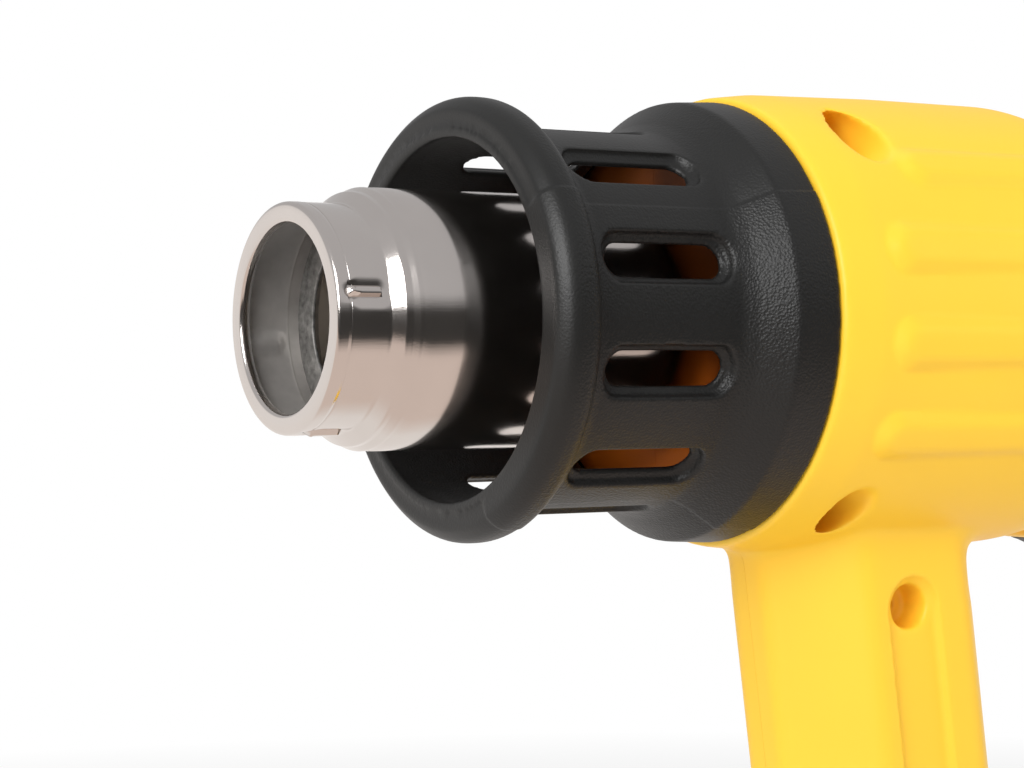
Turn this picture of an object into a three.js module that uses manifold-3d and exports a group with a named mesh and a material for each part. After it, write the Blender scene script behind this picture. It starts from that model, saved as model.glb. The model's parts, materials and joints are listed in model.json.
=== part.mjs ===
// Hot air tool: a pistol grip heat gun with a slotted guard round its steel outlet tube.
// Millimetres. Inside the tool x runs back from the nozzle's lip and the air axis is y = z = 0.
// The exported group stands on the handle's base, with its origin under the middle of the whole.
import * as THREE from "three";
import { mergeVertices } from "three/addons/utils/BufferGeometryUtils.js";
import Module from "manifold-3d";

const wasm = await Module();
wasm.setup();

// Facets in a full turn of large, middling and small round shapes, and of the screw bosses
const LARGE_ROUND = 28;
const MIDDLE_ROUND = 18;
const BOSS_ROUND = 14;
const SMALL_ROUND = 8;

// Clearances: pieces that rest on each other, that slide together and that turn past each other
const SEAT = 0.3;
const SLIP = 0.4;
const RUNNING = 0.8;

// Steel outlet tube
const OUTLET_RADIUS = 17;
const OUTLET_LENGTH = 7.2;
const SHOULDER_LENGTH = 5.6;
const BARREL_RADIUS = 19.5;
const TUBE_WALL = 0.8;
const LIP_WIDTH = 3.05;
const LIP_LENGTH = 1.8;
const LIP_ROUNDING = 0.55;
const TUBE_FLANGE_WIDTH = 5.5;
const TUBE_FLANGE_THICKNESS = 1;
const CRIMP_COUNT = 4;
const CRIMP_DEPTH = 0.9;
const CRIMP_TURN = THREE.MathUtils.degToRad(-12);

// Sleeve, insulation and heater inside the outlet tube
const SLEEVE_LENGTH = 20;
const SLEEVE_WALL = 0.6;
const SLEEVE_MOUTH_RADIUS = 13.4;
const MICA_LENGTH = 62;
const MICA_WALL = 0.7;
const FORMER_RADIUS = 14.2;
const FORMER_LENGTH = 50;
const FORMER_ARMS = 6;
const COIL_TURNS = 8;
const COIL_WIRE_RADIUS = 0.55;
const SPIDER_THICKNESS = 2;
const CUTOUT_RADIUS = 4;
const CUTOUT_LENGTH = 3.8;

// Black guard
const GUARD_SETBACK = 26.8;
const GUARD_RADIUS = 33.7;
const BEAD_LENGTH = 8.7;
const CAGE_RADIUS = 30;
const CAGE_WALL = 2.6;
const CAGE_LENGTH = 25.3;
const CONE_LENGTH = 6.9;
const COLLAR_RADIUS = 35.4;
const COLLAR_LENGTH = 7.4;
const COLLAR_WALL = 3.2;
const SLOT_COUNT = 11;
const SLOT_WIDTH = 5.6;
const SLOT_LENGTH = 21.8;
const SLOT_SETBACK = 1.3;

// Yellow housing: a round body in two halves, with the handle under it
const BODY_RADIUS = 37.3;
const BODY_LENGTH = 74.6;
const RIM_STEP = 0.5;
const SWELL_LENGTH = 7;
const TAIL_LENGTH = 22;
const TAIL_STEP = 4.1;
const SHELL_WALL = 2.5;
const NOSE_LENGTH = 9.1;
const BULKHEAD_THICKNESS = 2.8;
const LATCH_DEPTH = 0.9;
const LATCH_LENGTH = 1.5;
const RIB_WIDTH = 7.4;
const RIB_HEIGHT = 1.2;
const RIB_LENGTH = 42;
const RIB_SETBACK = 9.2;
const TOP_RIB_SETBACK = 17.2;
const RIB_PITCH = 23;
const RIB_TOP_ANGLE = 40;
const RIB_COUNT = 4;
const LOCATING_RIB = 2;
const HEEL_WIDTH = 24;
const HEEL_DEPTH = 3;

// Handle
const AXIS_HEIGHT = 150;
const HANDLE_SETBACK = 7.8;
const HANDLE_DEPTH = 38.4;
const HANDLE_WIDTH = 32.4;
const HANDLE_LEAN = THREE.MathUtils.degToRad(7.3);
const FRONT_FLAT = 9;
const FRONT_CHAMFER = 12;
const REAR_CHAMFER = 5.5;
const BASE_FLARE = 2.4;
const BASE_WALL = 3.4;
const CHANNEL_WIDTH = 10.8;
const CHANNEL_DEPTH = 1.1;
const CHANNEL_LENGTH = 82;

// Screws that close the housing, put in from the right
const GRIP_SCREW_SETBACK = 21.2;
const GRIP_SCREW_SPACING = 71;
const RECESS_RADIUS = 4.2;
const BOSS_WALL = 1.3;
const BOSS_FLOOR = 9;
const SCREW_RADIUS = 1.3;
const SCREW_HEAD_RADIUS = 3.3;
const SCREW_HEAD_HEIGHT = 2.2;
const SCREW_TIP = 7.6;

// Air duct, fan and motor
const DUCT_WALL = 1.6;
const FAN_CASE_SPACE = 3.4;
const FAN_CASE_LENGTH = 17.5;
const FAN_HUB_RADIUS = 11;
const FAN_HUB_LENGTH = 12.5;
const BLADE_COUNT = 7;
const BLADE_CHORD = 13;
const BLADE_THICKNESS = 1.4;
const CRADLE_THICKNESS = 3;
const CRADLE_RING_WIDTH = 3;
const CRADLE_SPOKES = 5;
const CRADLE_SLEEVE_LENGTH = 9;
const MOTOR_RADIUS = 18;
const MOTOR_LENGTH = 38;
const MOTOR_WALL = 0.8;
const BEARING_RADIUS = 5;
const BEARING_LENGTH = 1.9;
const SHAFT_RADIUS = 1.6;
const ARMATURE_RADIUS = 13.6;
const ARMATURE_SETBACK = 11;
const COMMUTATOR_LENGTH = 3;
const MAGNET_THICKNESS = 2.6;
const MAGNET_SPAN = 132;
const END_BELL_LENGTH = 3;
const MOTOR_SCREW_OFFSET = 12.6;
const LEAD_SPACE = 5.4;

// Rear cap, control board and dial
const CAP_LENGTH = 42.7;
const CAP_STEP = 2.3;
const CAP_WALL = 2.4;
const CAP_SPIGOT_STEP = 4.2;
const CAP_FLANGE = 2.1;
const CAP_LIP_LENGTH = 2.5;
const RIM_WIDTH = 3;
const DISH_RADIUS = 24;
const DISH_DEPTH = 5.1;
const INTAKE_COUNT = 14;
const INTAKE_WIDTH = 3.6;
const INTAKE_LENGTH = 20;
const DISH_SLOT_COUNT = 8;
const BOARD_RADIUS = 25.5;
const BOARD_THICKNESS = 1.6;
const POT_RADIUS = 8;
const POT_LENGTH = 5.3;
const SPINDLE_RADIUS = 3;
const DIAL_RADIUS = 12;
const DIAL_THICKNESS = 4.2;
const DIAL_GRIPS = 12;
const BOARD_SCREW_OFFSET = 13;
const HEAT_SINK_WALL = 1.2;
const HEAT_SINK_HEIGHT = 12;
const HEAT_SINK_WIDTH = 14;
const HEAT_SINK_FINS = 4;
const FIN_THICKNESS = 1;

// Switch in the back of the handle, and the gland under it
const SWITCH_DROP = 84;
const SWITCH_WIDTH = 13;
const SWITCH_HEIGHT = 24;
const SWITCH_DEPTH = 15;
const BEZEL_THICKNESS = 1.4;
const BEZEL_LIP = 1.6;
const ROCKER_WIDTH = 8.8;
const ROCKER_HEIGHT = 16.4;
const ROCKER_PIVOT_DEPTH = 3.4;
const ROCKER_CROWN = 1.4;
const ROCKER_PIN_RADIUS = 1;
const ROCKER_PIN_REACH = 0.8;
const GLAND_RADIUS = 8;
const GLAND_NECK_RADIUS = 6;
const GLAND_BORE_RADIUS = 3.7;
const CLAMP_RISE = 14;
const CLAMP_SPACING = 15;
const CLAMP_THICKNESS = 2.6;
const CLAMP_HEIGHT = 7;
const LEAD_RADIUS = 0.8;

// Small screws of the motor, the board and the cord clamp
const SMALL_SCREW_RADIUS = 1.2;
const SMALL_HEAD_RADIUS = 2.4;
const SMALL_HEAD_HEIGHT = 1.4;
const SMALL_POST_RADIUS = 3;

// Where each piece starts, worked back from the lip
const mouthRadius = OUTLET_RADIUS - LIP_WIDTH;
const barrelStart = OUTLET_LENGTH + SHOULDER_LENGTH;
const cageStart = GUARD_SETBACK + BEAD_LENGTH;
const coneStart = cageStart + CAGE_LENGTH;
const collarStart = coneStart + CONE_LENGTH;
const guardEnd = collarStart + COLLAR_LENGTH;
const bodyStart = guardEnd + SEAT;
const bodyEnd = bodyStart + BODY_LENGTH;
const rimRadius = COLLAR_RADIUS + RIM_STEP;
const tailRadius = BODY_RADIUS - TAIL_STEP;
const noseStart = guardEnd - NOSE_LENGTH;
const noseRadius = COLLAR_RADIUS - COLLAR_WALL - SEAT;
const bulkheadEnd = noseStart + BULKHEAD_THICKNESS;
const tubeFlangeStart = bulkheadEnd + SEAT;
const tubeEnd = tubeFlangeStart + TUBE_FLANGE_THICKNESS;
const ductStart = tubeEnd + SEAT;
const ductFlangeThickness = 2;
const ductBore = BARREL_RADIUS - TUBE_WALL + SEAT;
const ductRadius = ductBore + DUCT_WALL;
const sleeveStart = barrelStart + TUBE_WALL;
const sleeveRadius = BARREL_RADIUS - TUBE_WALL - SLIP;
const micaStart = sleeveStart + SLEEVE_LENGTH + SEAT;
const micaEnd = micaStart + MICA_LENGTH;
const formerStart = micaStart + 6;
const formerEnd = formerStart + FORMER_LENGTH;
const spiderStart = formerEnd + SEAT;
const spiderEnd = spiderStart + SPIDER_THICKNESS;
const spiderRadius = sleeveRadius - MICA_WALL - SLIP;
const cutoutStart = spiderEnd + SEAT;
const cutoutEnd = cutoutStart + CUTOUT_LENGTH;
const bodyBore = BODY_RADIUS - SHELL_WALL;
const capStart = bodyEnd + SEAT;
const capEnd = capStart + CAP_LENGTH;
const capRadius = BODY_RADIUS - CAP_STEP;
const capSpigotRadius = tailRadius - CAP_SPIGOT_STEP;
const capFlangeEnd = bodyEnd - CAP_LIP_LENGTH - SLIP;
const capFlangeStart = capFlangeEnd - CAP_FLANGE;
const dishFace = capEnd - DISH_DEPTH;
const dishBack = dishFace - CAP_WALL;
const potStart = dishBack - SEAT - POT_LENGTH;
const boardEnd = potStart - SEAT;
const boardStart = boardEnd - BOARD_THICKNESS;

// Motor, fan and fan case, worked forward from the board; the duct's cone fills what is left
const bellEnd = boardStart - LEAD_SPACE;
const bellStart = bellEnd - END_BELL_LENGTH;
const motorEnd = bellStart - SEAT;
const motorStart = motorEnd - MOTOR_LENGTH;
const cradleEnd = motorStart - SEAT;
const cradleStart = cradleEnd - CRADLE_THICKNESS;
const ductEnd = cradleStart - SEAT;
const coneEnd = ductEnd - FAN_CASE_LENGTH;
const ductStepEnd = micaEnd + SEAT + 2;
const fanCaseRadius = bodyBore - FAN_CASE_SPACE;
const fanCaseBore = fanCaseRadius - DUCT_WALL;
const fanStart = coneEnd + 3;
const fanEnd = fanStart + FAN_HUB_LENGTH;
const magnetOuter = MOTOR_RADIUS - MOTOR_WALL - SEAT;
const magnetInner = magnetOuter - MAGNET_THICKNESS;
const armatureStart = motorStart + ARMATURE_SETBACK;
const armatureEnd = motorEnd - 2 * COMMUTATOR_LENGTH;
const baseZ = -AXIS_HEIGHT;

const onAirAxis = [0, 0, 0];

// Merged triangles of a geometry, faces out, as a solid
function solid(geometry) {
  const bare = geometry.index ? geometry.toNonIndexed() : geometry.clone();
  bare.deleteAttribute("normal");
  bare.deleteAttribute("uv");
  const merged = mergeVertices(bare, 1e-4);
  const position = merged.attributes.position;
  const corner = [new THREE.Vector3(), new THREE.Vector3(), new THREE.Vector3()];
  const faces = [];
  let volume = 0;
  for (let i = 0; i < merged.index.count; i += 3) {
    const face = [0, 1, 2].map((k) => merged.index.getX(i + k));
    if (new Set(face).size < 3) continue;
    corner.forEach((point, k) => point.fromBufferAttribute(position, face[k]));
    volume += corner[0].dot(corner[1].clone().cross(corner[2]));
    faces.push(face);
  }
  if (volume < 0) faces.forEach((face) => face.reverse());
  const triVerts = new Uint32Array(faces.flat());
  return new wasm.Manifold(new wasm.Mesh({ numProp: 3, vertProperties: position.array, triVerts }));
}

// The solid's triangles as a geometry that three.js can draw
function drawn(body) {
  const mesh = body.getMesh();
  const step = mesh.numProp;
  const points = new Float32Array(mesh.numVert * 3);
  for (let i = 0; i < mesh.numVert; i += 1) {
    points.set(mesh.vertProperties.subarray(i * step, i * step + 3), i * 3);
  }
  const geometry = new THREE.BufferGeometry();
  geometry.setAttribute("position", new THREE.BufferAttribute(points, 3));
  geometry.setIndex(new THREE.BufferAttribute(new Uint32Array(mesh.triVerts), 1));
  geometry.computeVertexNormals();
  return geometry;
}

// Turned geometry about x, y or z from [along, radius] points, closed on itself where it misses the axis
function turnedGeometry(profile, axis = "x", segments = LARGE_ROUND) {
  const points = profile.map(([along, radius]) => new THREE.Vector2(radius, along));
  const touchesAxis = profile[0][1] === 0 && profile[profile.length - 1][1] === 0;
  if (!touchesAxis) points.push(points[0].clone());
  const geometry = new THREE.LatheGeometry(points, segments);
  if (axis === "x") geometry.rotateZ(-Math.PI / 2);
  if (axis === "z") geometry.rotateX(Math.PI / 2);
  return geometry;
}

function turned(profile, axis, segments) {
  return solid(turnedGeometry(profile, axis, segments));
}

function rod(axis, radius, from, to, centre = onAirAxis, segments = MIDDLE_ROUND) {
  const profile = [[from, 0], [from, radius], [to, radius], [to, 0]];
  return solid(turnedGeometry(profile, axis, segments).translate(...centre));
}

function block(x, y, z) {
  const geometry = new THREE.BoxGeometry(x[1] - x[0], y[1] - y[0], z[1] - z[0]);
  return solid(geometry.translate((x[0] + x[1]) / 2, (y[0] + y[1]) / 2, (z[0] + z[1]) / 2));
}

// A block that is centred on the x axis
function centredBlock(x, halfWidth, halfHeight) {
  return block(x, [-halfWidth, halfWidth], [-halfHeight, halfHeight]);
}

// Outline in the plane across an axis: [y, z] across x, [x, z] across y and [x, y] across z
function prism(outline, axis, from, to) {
  const corners = (points) => points.map(([a, b]) => new THREE.Vector2(a, b));
  const shape = outline instanceof THREE.Shape ? outline : new THREE.Shape(corners(outline));
  const options = { depth: to - from, bevelEnabled: false, curveSegments: 5 };
  const geometry = new THREE.ExtrudeGeometry(shape, options);
  const matrix = new THREE.Matrix4();
  const [x, y, z] = [new THREE.Vector3(1, 0, 0), new THREE.Vector3(0, 1, 0), new THREE.Vector3(0, 0, 1)];
  if (axis === "x") matrix.makeBasis(y, z, x).setPosition(from, 0, 0);
  if (axis === "y") matrix.makeBasis(x, z, y.clone().negate()).setPosition(0, to, 0);
  if (axis === "z") matrix.setPosition(0, 0, from);
  return solid(geometry.applyMatrix4(matrix));
}

// A slot's outline: straight sides and round ends, along the first coordinate
function slotOutline(length, width, steps = 3) {
  const straight = length / 2 - width / 2;
  const points = [];
  for (const end of [1, -1]) {
    for (let i = 0; i <= steps; i += 1) {
      const angle = (Math.PI * i) / steps - (Math.PI / 2) * end;
      points.push([end * straight + (width / 2) * Math.cos(angle), (width / 2) * Math.sin(angle)]);
    }
  }
  return points;
}

// A corner outline with each corner taken off by a short facet
function softenedOutline(corners, size) {
  const toward = ([ax, ay], [bx, by]) => {
    const length = Math.hypot(bx - ax, by - ay);
    const step = Math.min(size, length / 2.2) / length;
    return [ax + (bx - ax) * step, ay + (by - ay) * step];
  };
  return corners.flatMap((corner, i) => {
    const before = toward(corner, corners[(i + corners.length - 1) % corners.length]);
    const after = toward(corner, corners[(i + 1) % corners.length]);
    return [before, after];
  });
}

// A band or wedge of a ring in the y-z plane, as a shape
function arcShape(inner, outer, fromDegrees, toDegrees) {
  const [from, to] = [fromDegrees, toDegrees].map(THREE.MathUtils.degToRad);
  const shape = new THREE.Shape();
  shape.absarc(0, 0, outer, from, to, false);
  shape.absarc(0, 0, inner, to, from, true);
  shape.closePath();
  return shape;
}

// A solid through rings of points that all have the same count
function loft(rings) {
  const count = rings[0].length;
  const geometry = new THREE.BufferGeometry();
  geometry.setAttribute("position", new THREE.Float32BufferAttribute(rings.flat(2), 3));
  const index = [];
  for (let ring = 0; ring < rings.length - 1; ring += 1) {
    for (let i = 0; i < count; i += 1) {
      const a = ring * count + i;
      const b = ring * count + ((i + 1) % count);
      index.push(a, b, b + count, a, b + count, a + count);
    }
  }
  const last = (rings.length - 1) * count;
  for (let i = 1; i < count - 1; i += 1) {
    index.push(0, i + 1, i, last, last + i, last + i + 1);
  }
  geometry.setIndex(index);
  return solid(geometry);
}

// A round wire through points
function wire(points, radius, steps, sides = 5) {
  const places = points.map((point) => new THREE.Vector3(...point));
  const curve = new THREE.CatmullRomCurve3(places, false, "centripetal");
  const section = new THREE.Shape();
  for (let i = 0; i < sides; i += 1) {
    const angle = (2 * Math.PI * i) / sides;
    const draw = i === 0 ? "moveTo" : "lineTo";
    section[draw](radius * Math.cos(angle), radius * Math.sin(angle));
  }
  section.closePath();
  return solid(new THREE.ExtrudeGeometry(section, { steps, extrudePath: curve, bevelEnabled: false }));
}

// Copies of a solid spread evenly round the air axis
function roundTheAxis(body, count, firstDegrees = 0) {
  const copies = [];
  for (let i = 0; i < count; i += 1) {
    copies.push(body.rotate([firstDegrees + (360 * i) / count, 0, 0]));
  }
  return copies;
}

function joined(...bodies) {
  return bodies.flat().reduce((whole, body) => whole.add(body));
}

function cut(body, ...tools) {
  return tools.flat().reduce((left, tool) => left.subtract(tool), body);
}

// Radial position of a slot that is cut through a ring from inside out, as seen from above
function radialSlot(length, width, middle, inner, outer) {
  const outline = slotOutline(length, width).map(([along, across]) => [middle + along, across]);
  return prism(outline, "z", inner, outer);
}

// The finish of each kind of piece
const finish = (color, roughness, metalness = 0) =>
  new THREE.MeshStandardMaterial({ color, roughness, metalness });
const yellowPlastic = () => finish(0xf9c440, 0.5);
const blackPlastic = () => finish(0x242423, 0.6);
const polishedSteel = () => finish(0xb9b4b0, 0.2, 1);
const plainSteel = () => finish(0x9a9c9e, 0.4, 1);
const ceramic = () => finish(0xe6e0d4, 0.8);
const mica = () => finish(0x9c8f7c, 0.55);
const heatingWire = () => finish(0x6d6660, 0.5, 0.8);
const darkNylon = () => finish(0x35383b, 0.55);
const boardLaminate = () => finish(0x1f5a34, 0.5);
const aluminium = () => finish(0xb4b8bb, 0.35, 1);
const blackRubber = () => finish(0x1b1b1b, 0.85);
const redRocker = () => finish(0xb3231c, 0.45);
const insulation = (color) => finish(color, 0.6);

const pieces = new THREE.Group();
pieces.position.set(-capEnd / 2, 0, AXIS_HEIGHT);
const tool = new THREE.Group();
tool.add(pieces);

function addPiece(name, body, material, group = pieces) {
  const mesh = new THREE.Mesh(drawn(body), material);
  mesh.name = name;
  group.add(mesh);
  return mesh;
}

// Outlet tube: a rolled lip, four crimps, a soft shoulder and a flange behind the bulkhead
function outletTube() {
  const shoulder = (offset) =>
    [0, 0.35, 0.7, 1].map((t) => {
      const ease = t * t * (3 - 2 * t);
      const radius = OUTLET_RADIUS + (BARREL_RADIUS - OUTLET_RADIUS) * ease - offset;
      return [OUTLET_LENGTH + SHOULDER_LENGTH * t + offset / 3, radius];
    });
  const outletBore = OUTLET_RADIUS - TUBE_WALL;
  const flangeRadius = BARREL_RADIUS + TUBE_FLANGE_WIDTH;
  const profile = [
    [0, OUTLET_RADIUS - LIP_ROUNDING],
    [LIP_ROUNDING, OUTLET_RADIUS],
    [LIP_LENGTH, OUTLET_RADIUS],
    [OUTLET_LENGTH * 0.7, OUTLET_RADIUS],
    ...shoulder(0),
    [tubeFlangeStart, BARREL_RADIUS],
    [tubeFlangeStart, flangeRadius],
    [tubeEnd, flangeRadius],
    [tubeEnd, BARREL_RADIUS - TUBE_WALL],
    ...shoulder(TUBE_WALL).reverse(),
    [OUTLET_LENGTH * 0.7, outletBore],
    [LIP_LENGTH, outletBore],
    [LIP_LENGTH, mouthRadius],
    [LIP_ROUNDING, mouthRadius],
    [0, mouthRadius + LIP_ROUNDING],
  ];
  const geometry = turnedGeometry(profile, "x", CRIMP_COUNT * 7).rotateX(CRIMP_TURN);
  const position = geometry.attributes.position;
  for (let i = 0; i < position.count; i += 1) {
    const [x, y, z] = [position.getX(i), position.getY(i), position.getZ(i)];
    const turns = ((Math.atan2(z, y) - CRIMP_TURN) / (2 * Math.PI)) * CRIMP_COUNT;
    const onCrimp = Math.abs(turns - Math.round(turns)) < 1e-3;
    const alongCrimp = x > LIP_LENGTH + 0.1 && x < OUTLET_LENGTH + 0.1;
    if (!onCrimp || !alongCrimp) continue;
    const radius = Math.hypot(y, z);
    const pressed = (radius - CRIMP_DEPTH) / radius;
    position.setXYZ(i, x, y * pressed, z * pressed);
  }
  return solid(geometry);
}

// Sleeve in the mouth: a thin tube whose front edge is turned in
function outletSleeve() {
  const end = sleeveStart + SLEEVE_LENGTH;
  return turned([
    [sleeveStart, SLEEVE_MOUTH_RADIUS],
    [sleeveStart, sleeveRadius],
    [end, sleeveRadius],
    [end, sleeveRadius - SLEEVE_WALL],
    [sleeveStart + SLEEVE_WALL, sleeveRadius - SLEEVE_WALL],
    [sleeveStart + SLEEVE_WALL, SLEEVE_MOUTH_RADIUS],
  ], "x", MIDDLE_ROUND);
}

function tube(axis, outer, inner, from, to, segments = MIDDLE_ROUND) {
  return turned([[from, inner], [from, outer], [to, outer], [to, inner]], axis, segments);
}

// Ceramic former: a star whose arms carry the heating coil
function heaterFormer() {
  const outline = [];
  for (let arm = 0; arm < FORMER_ARMS; arm += 1) {
    const pitch = (2 * Math.PI) / FORMER_ARMS;
    for (const [share, radius] of [[-0.5, 0.4], [-0.13, 1], [0.13, 1]]) {
      const angle = (arm + share) * pitch;
      outline.push([FORMER_RADIUS * radius * Math.cos(angle), FORMER_RADIUS * radius * Math.sin(angle)]);
    }
  }
  return prism(outline, "x", formerStart, formerEnd);
}

// Heating coil: one helix on the former, with a straight tail at each end
function heaterCoil() {
  const stepsPerTurn = 8;
  const radius = (FORMER_RADIUS + COIL_WIRE_RADIUS + SLIP) / Math.cos(Math.PI / stepsPerTurn);
  const tail = 2 * COIL_WIRE_RADIUS;
  const start = formerStart + 2;
  const end = spiderStart - SEAT - tail;
  const steps = COIL_TURNS * stepsPerTurn;
  const points = [];
  for (let i = 0; i <= steps; i += 1) {
    const angle = (2 * Math.PI * i) / stepsPerTurn;
    points.push([start + ((end - start) * i) / steps, radius * Math.cos(angle), radius * Math.sin(angle)]);
  }
  const [first, last] = [points[0], points[steps]];
  points.unshift([first[0] - tail, first[1], first[2]]);
  points.push([last[0] + tail, last[1], last[2]]);
  const turnGap = points
    .slice(0, -stepsPerTurn)
    .map((a, i) => Math.hypot(...a.map((value, k) => value - points[i + stepsPerTurn][k])));
  const leastGap = Math.min(...turnGap) - 2 * COIL_WIRE_RADIUS;
  console.log("heater coil, least gap between turns:", leastGap.toFixed(2));
  return wire(points, COIL_WIRE_RADIUS, steps + 4);
}

// Spider: a ring, three spokes and a hub that hold the former's back end
function heaterSpider() {
  const ring = tube("x", spiderRadius, spiderRadius - 2, spiderStart, spiderEnd);
  const hub = rod("x", CUTOUT_RADIUS + 2.5, spiderStart, spiderEnd);
  const spoke = block([spiderStart, spiderEnd], [-1.6, 1.6], [0, spiderRadius - 1]);
  return joined(ring, hub, roundTheAxis(spoke, 3, 180));
}

// Guard: a rounded front bead, a slotted cage, a cone and a collar that latches on the housing's nose
function nozzleGuard() {
  const cageBore = CAGE_RADIUS - CAGE_WALL;
  const collarBore = COLLAR_RADIUS - COLLAR_WALL;
  const bead = (share, radiusShare) => [
    GUARD_SETBACK + BEAD_LENGTH * share,
    CAGE_RADIUS + (GUARD_RADIUS - CAGE_RADIUS) * radiusShare,
  ];
  const latchMiddle = noseStart + NOSE_LENGTH / 2;
  const latch = (side, depth) => [latchMiddle + (side * LATCH_LENGTH) / 2, collarBore - depth];
  const profile = [
    bead(0, 0.35),
    bead(0.1, 0.7),
    bead(0.28, 0.93),
    bead(0.52, 1),
    bead(0.76, 0.86),
    bead(0.9, 0.42),
    [cageStart, CAGE_RADIUS],
    [coneStart, CAGE_RADIUS],
    [collarStart, COLLAR_RADIUS - 0.4],
    [guardEnd, COLLAR_RADIUS],
    [guardEnd, collarBore],
    latch(1.2, 0),
    latch(1, LATCH_DEPTH - SEAT),
    latch(-1, LATCH_DEPTH - SEAT),
    latch(-1.2, 0),
    [noseStart - SEAT, collarBore],
    [coneStart + 1, cageBore],
    [GUARD_SETBACK + 0.4, cageBore],
    [GUARD_SETBACK, cageBore + 0.4],
  ];
  const slotStart = cageStart + SLOT_SETBACK;
  const slot = radialSlot(SLOT_LENGTH, SLOT_WIDTH, slotStart + SLOT_LENGTH / 2, cageBore - 3, COLLAR_RADIUS);
  // The first slot faces +y, so that none faces -y
  return cut(turned(profile, "x", SLOT_COUNT * 3), roundTheAxis(slot, SLOT_COUNT, -90));
}

// Handle: x of its front at a height, leaning back as it goes down
function handleFront(z) {
  return bodyStart + HANDLE_SETBACK + (-BODY_RADIUS - z) * Math.tan(HANDLE_LEAN);
}

function handleMiddle(z) {
  return handleFront(z) + HANDLE_DEPTH / 2;
}

// Handle outline at a height: a narrow front, broad front chamfers and a flat back.
// The inset is taken off all round.
function handleRing(z, inset) {
  const front = handleFront(z) + inset;
  const back = handleFront(z) + HANDLE_DEPTH - inset;
  const side = HANDLE_WIDTH / 2 - inset;
  const frontHalf = FRONT_FLAT / 2 - inset * 0.4;
  const backHalf = side - REAR_CHAMFER;
  const chamferEnd = front + FRONT_CHAMFER - inset * 0.4;
  const half = [
    [front, frontHalf],
    [chamferEnd, side],
    [back - REAR_CHAMFER, side],
    [back, backHalf],
  ];
  const corners = [...half, ...half.map(([x, y]) => [x, -y]).reverse()];
  return softenedOutline(corners, 2).map(([x, y]) => [x, y, z]);
}

function handleOutside() {
  const bodyBottom = -BODY_RADIUS;
  const rings = [
    [bodyBottom + 9, -6.5],
    [bodyBottom + 4.5, -4.6],
    [bodyBottom + 0.5, -2],
    [bodyBottom - 3, -0.6],
    [bodyBottom - 7, 0],
    [baseZ + 24, 0],
    [baseZ + 12, -BASE_FLARE * 0.5],
    [baseZ + 4, -BASE_FLARE],
    [baseZ + 1.2, -BASE_FLARE * 0.95],
    [baseZ, -BASE_FLARE * 0.45],
  ];
  const behindGuard = block([bodyStart, bodyEnd], [-BODY_RADIUS, BODY_RADIUS], [baseZ - 1, 0]);
  return loft(rings.map(([z, inset]) => handleRing(z, inset))).intersect(behindGuard);
}

function handleInside() {
  const rings = [
    [-BODY_RADIUS + 12, SHELL_WALL],
    [baseZ + 24, SHELL_WALL],
    [baseZ + BASE_WALL, SHELL_WALL - BASE_FLARE * 0.6],
  ];
  return loft(rings.map(([z, inset]) => handleRing(z, inset)));
}

// The two screws of the handle lie on a line that leans with it
const gripScrewX = (z) => handleFront(z) + GRIP_SCREW_SETBACK;
const upperGripZ = -BODY_RADIUS - 8.7;
const lowerGripZ = upperGripZ - GRIP_SCREW_SPACING;
const screwPlaces = {
  front_top: [bodyStart + 14, BODY_RADIUS - 8.5],
  front_bottom: [bodyStart + 12.1, -BODY_RADIUS + 7.5],
  rear_top: [bodyEnd - 11, BODY_RADIUS - 9.8],
  grip_top: [gripScrewX(upperGripZ), upperGripZ],
  grip_bottom: [gripScrewX(lowerGripZ), lowerGripZ],
};

const switchX = handleFront(-SWITCH_DROP) + HANDLE_DEPTH;
const leadNotch = 7;

// The rounded narrowing at the body's back end, for the radius that it starts from
function tail(radius) {
  return [0, 0.2, 0.4, 0.6, 0.8].map((share) => {
    const eased = share * share * (3 - 2 * share);
    return [bodyEnd - TAIL_LENGTH * (1 - share), radius - TAIL_STEP * eased];
  });
}

// The closed housing's outside: round body, nose, handle, side ribs and heel
function housingOutside() {
  const latchMiddle = noseStart + NOSE_LENGTH / 2;
  const latch = (side, depth) => [latchMiddle + (side * (LATCH_LENGTH + SLIP)) / 2, noseRadius - depth];
  const body = turned([
    [noseStart, 0],
    [noseStart, noseRadius - 0.8],
    [noseStart + 0.8, noseRadius],
    latch(-1.3, 0),
    latch(-1, LATCH_DEPTH),
    latch(1, LATCH_DEPTH),
    latch(1.3, 0),
    [bodyStart, noseRadius],
    [bodyStart, rimRadius - 0.5],
    [bodyStart + 0.7, rimRadius],
    [bodyStart + 4, rimRadius],
    [bodyStart + 4 + SWELL_LENGTH * 0.4, (rimRadius + BODY_RADIUS) / 2],
    [bodyStart + 4 + SWELL_LENGTH, BODY_RADIUS],
    ...tail(BODY_RADIUS),
    [bodyEnd, tailRadius],
    [bodyEnd, 0],
  ], "x", LARGE_ROUND);
  return joined(body, handleOutside(), sideRibs(), heel(bodyEnd - 7, bodyEnd));
}

// Soft raised grip ribs along both sides; the top one starts behind the screw's recess
function sideRibs() {
  const top = BODY_RADIUS + RIB_HEIGHT;
  const end = bodyStart + RIB_SETBACK + RIB_LENGTH;
  const outer = rod("x", top, bodyStart, end, onAirAxis, LARGE_ROUND);
  const ribs = [];
  for (let i = 0; i < RIB_COUNT; i += 1) {
    const angle = RIB_TOP_ANGLE - i * RIB_PITCH;
    const start = bodyStart + (i === 0 ? TOP_RIB_SETBACK : RIB_SETBACK);
    const rib = radialSlot(end - start, RIB_WIDTH, (start + end) / 2, bodyBore, top + 1);
    ribs.push(rib.rotate([90 - angle, 0, 0]), rib.rotate([angle - 90, 0, 0]));
  }
  return joined(ribs).intersect(outer);
}

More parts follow.
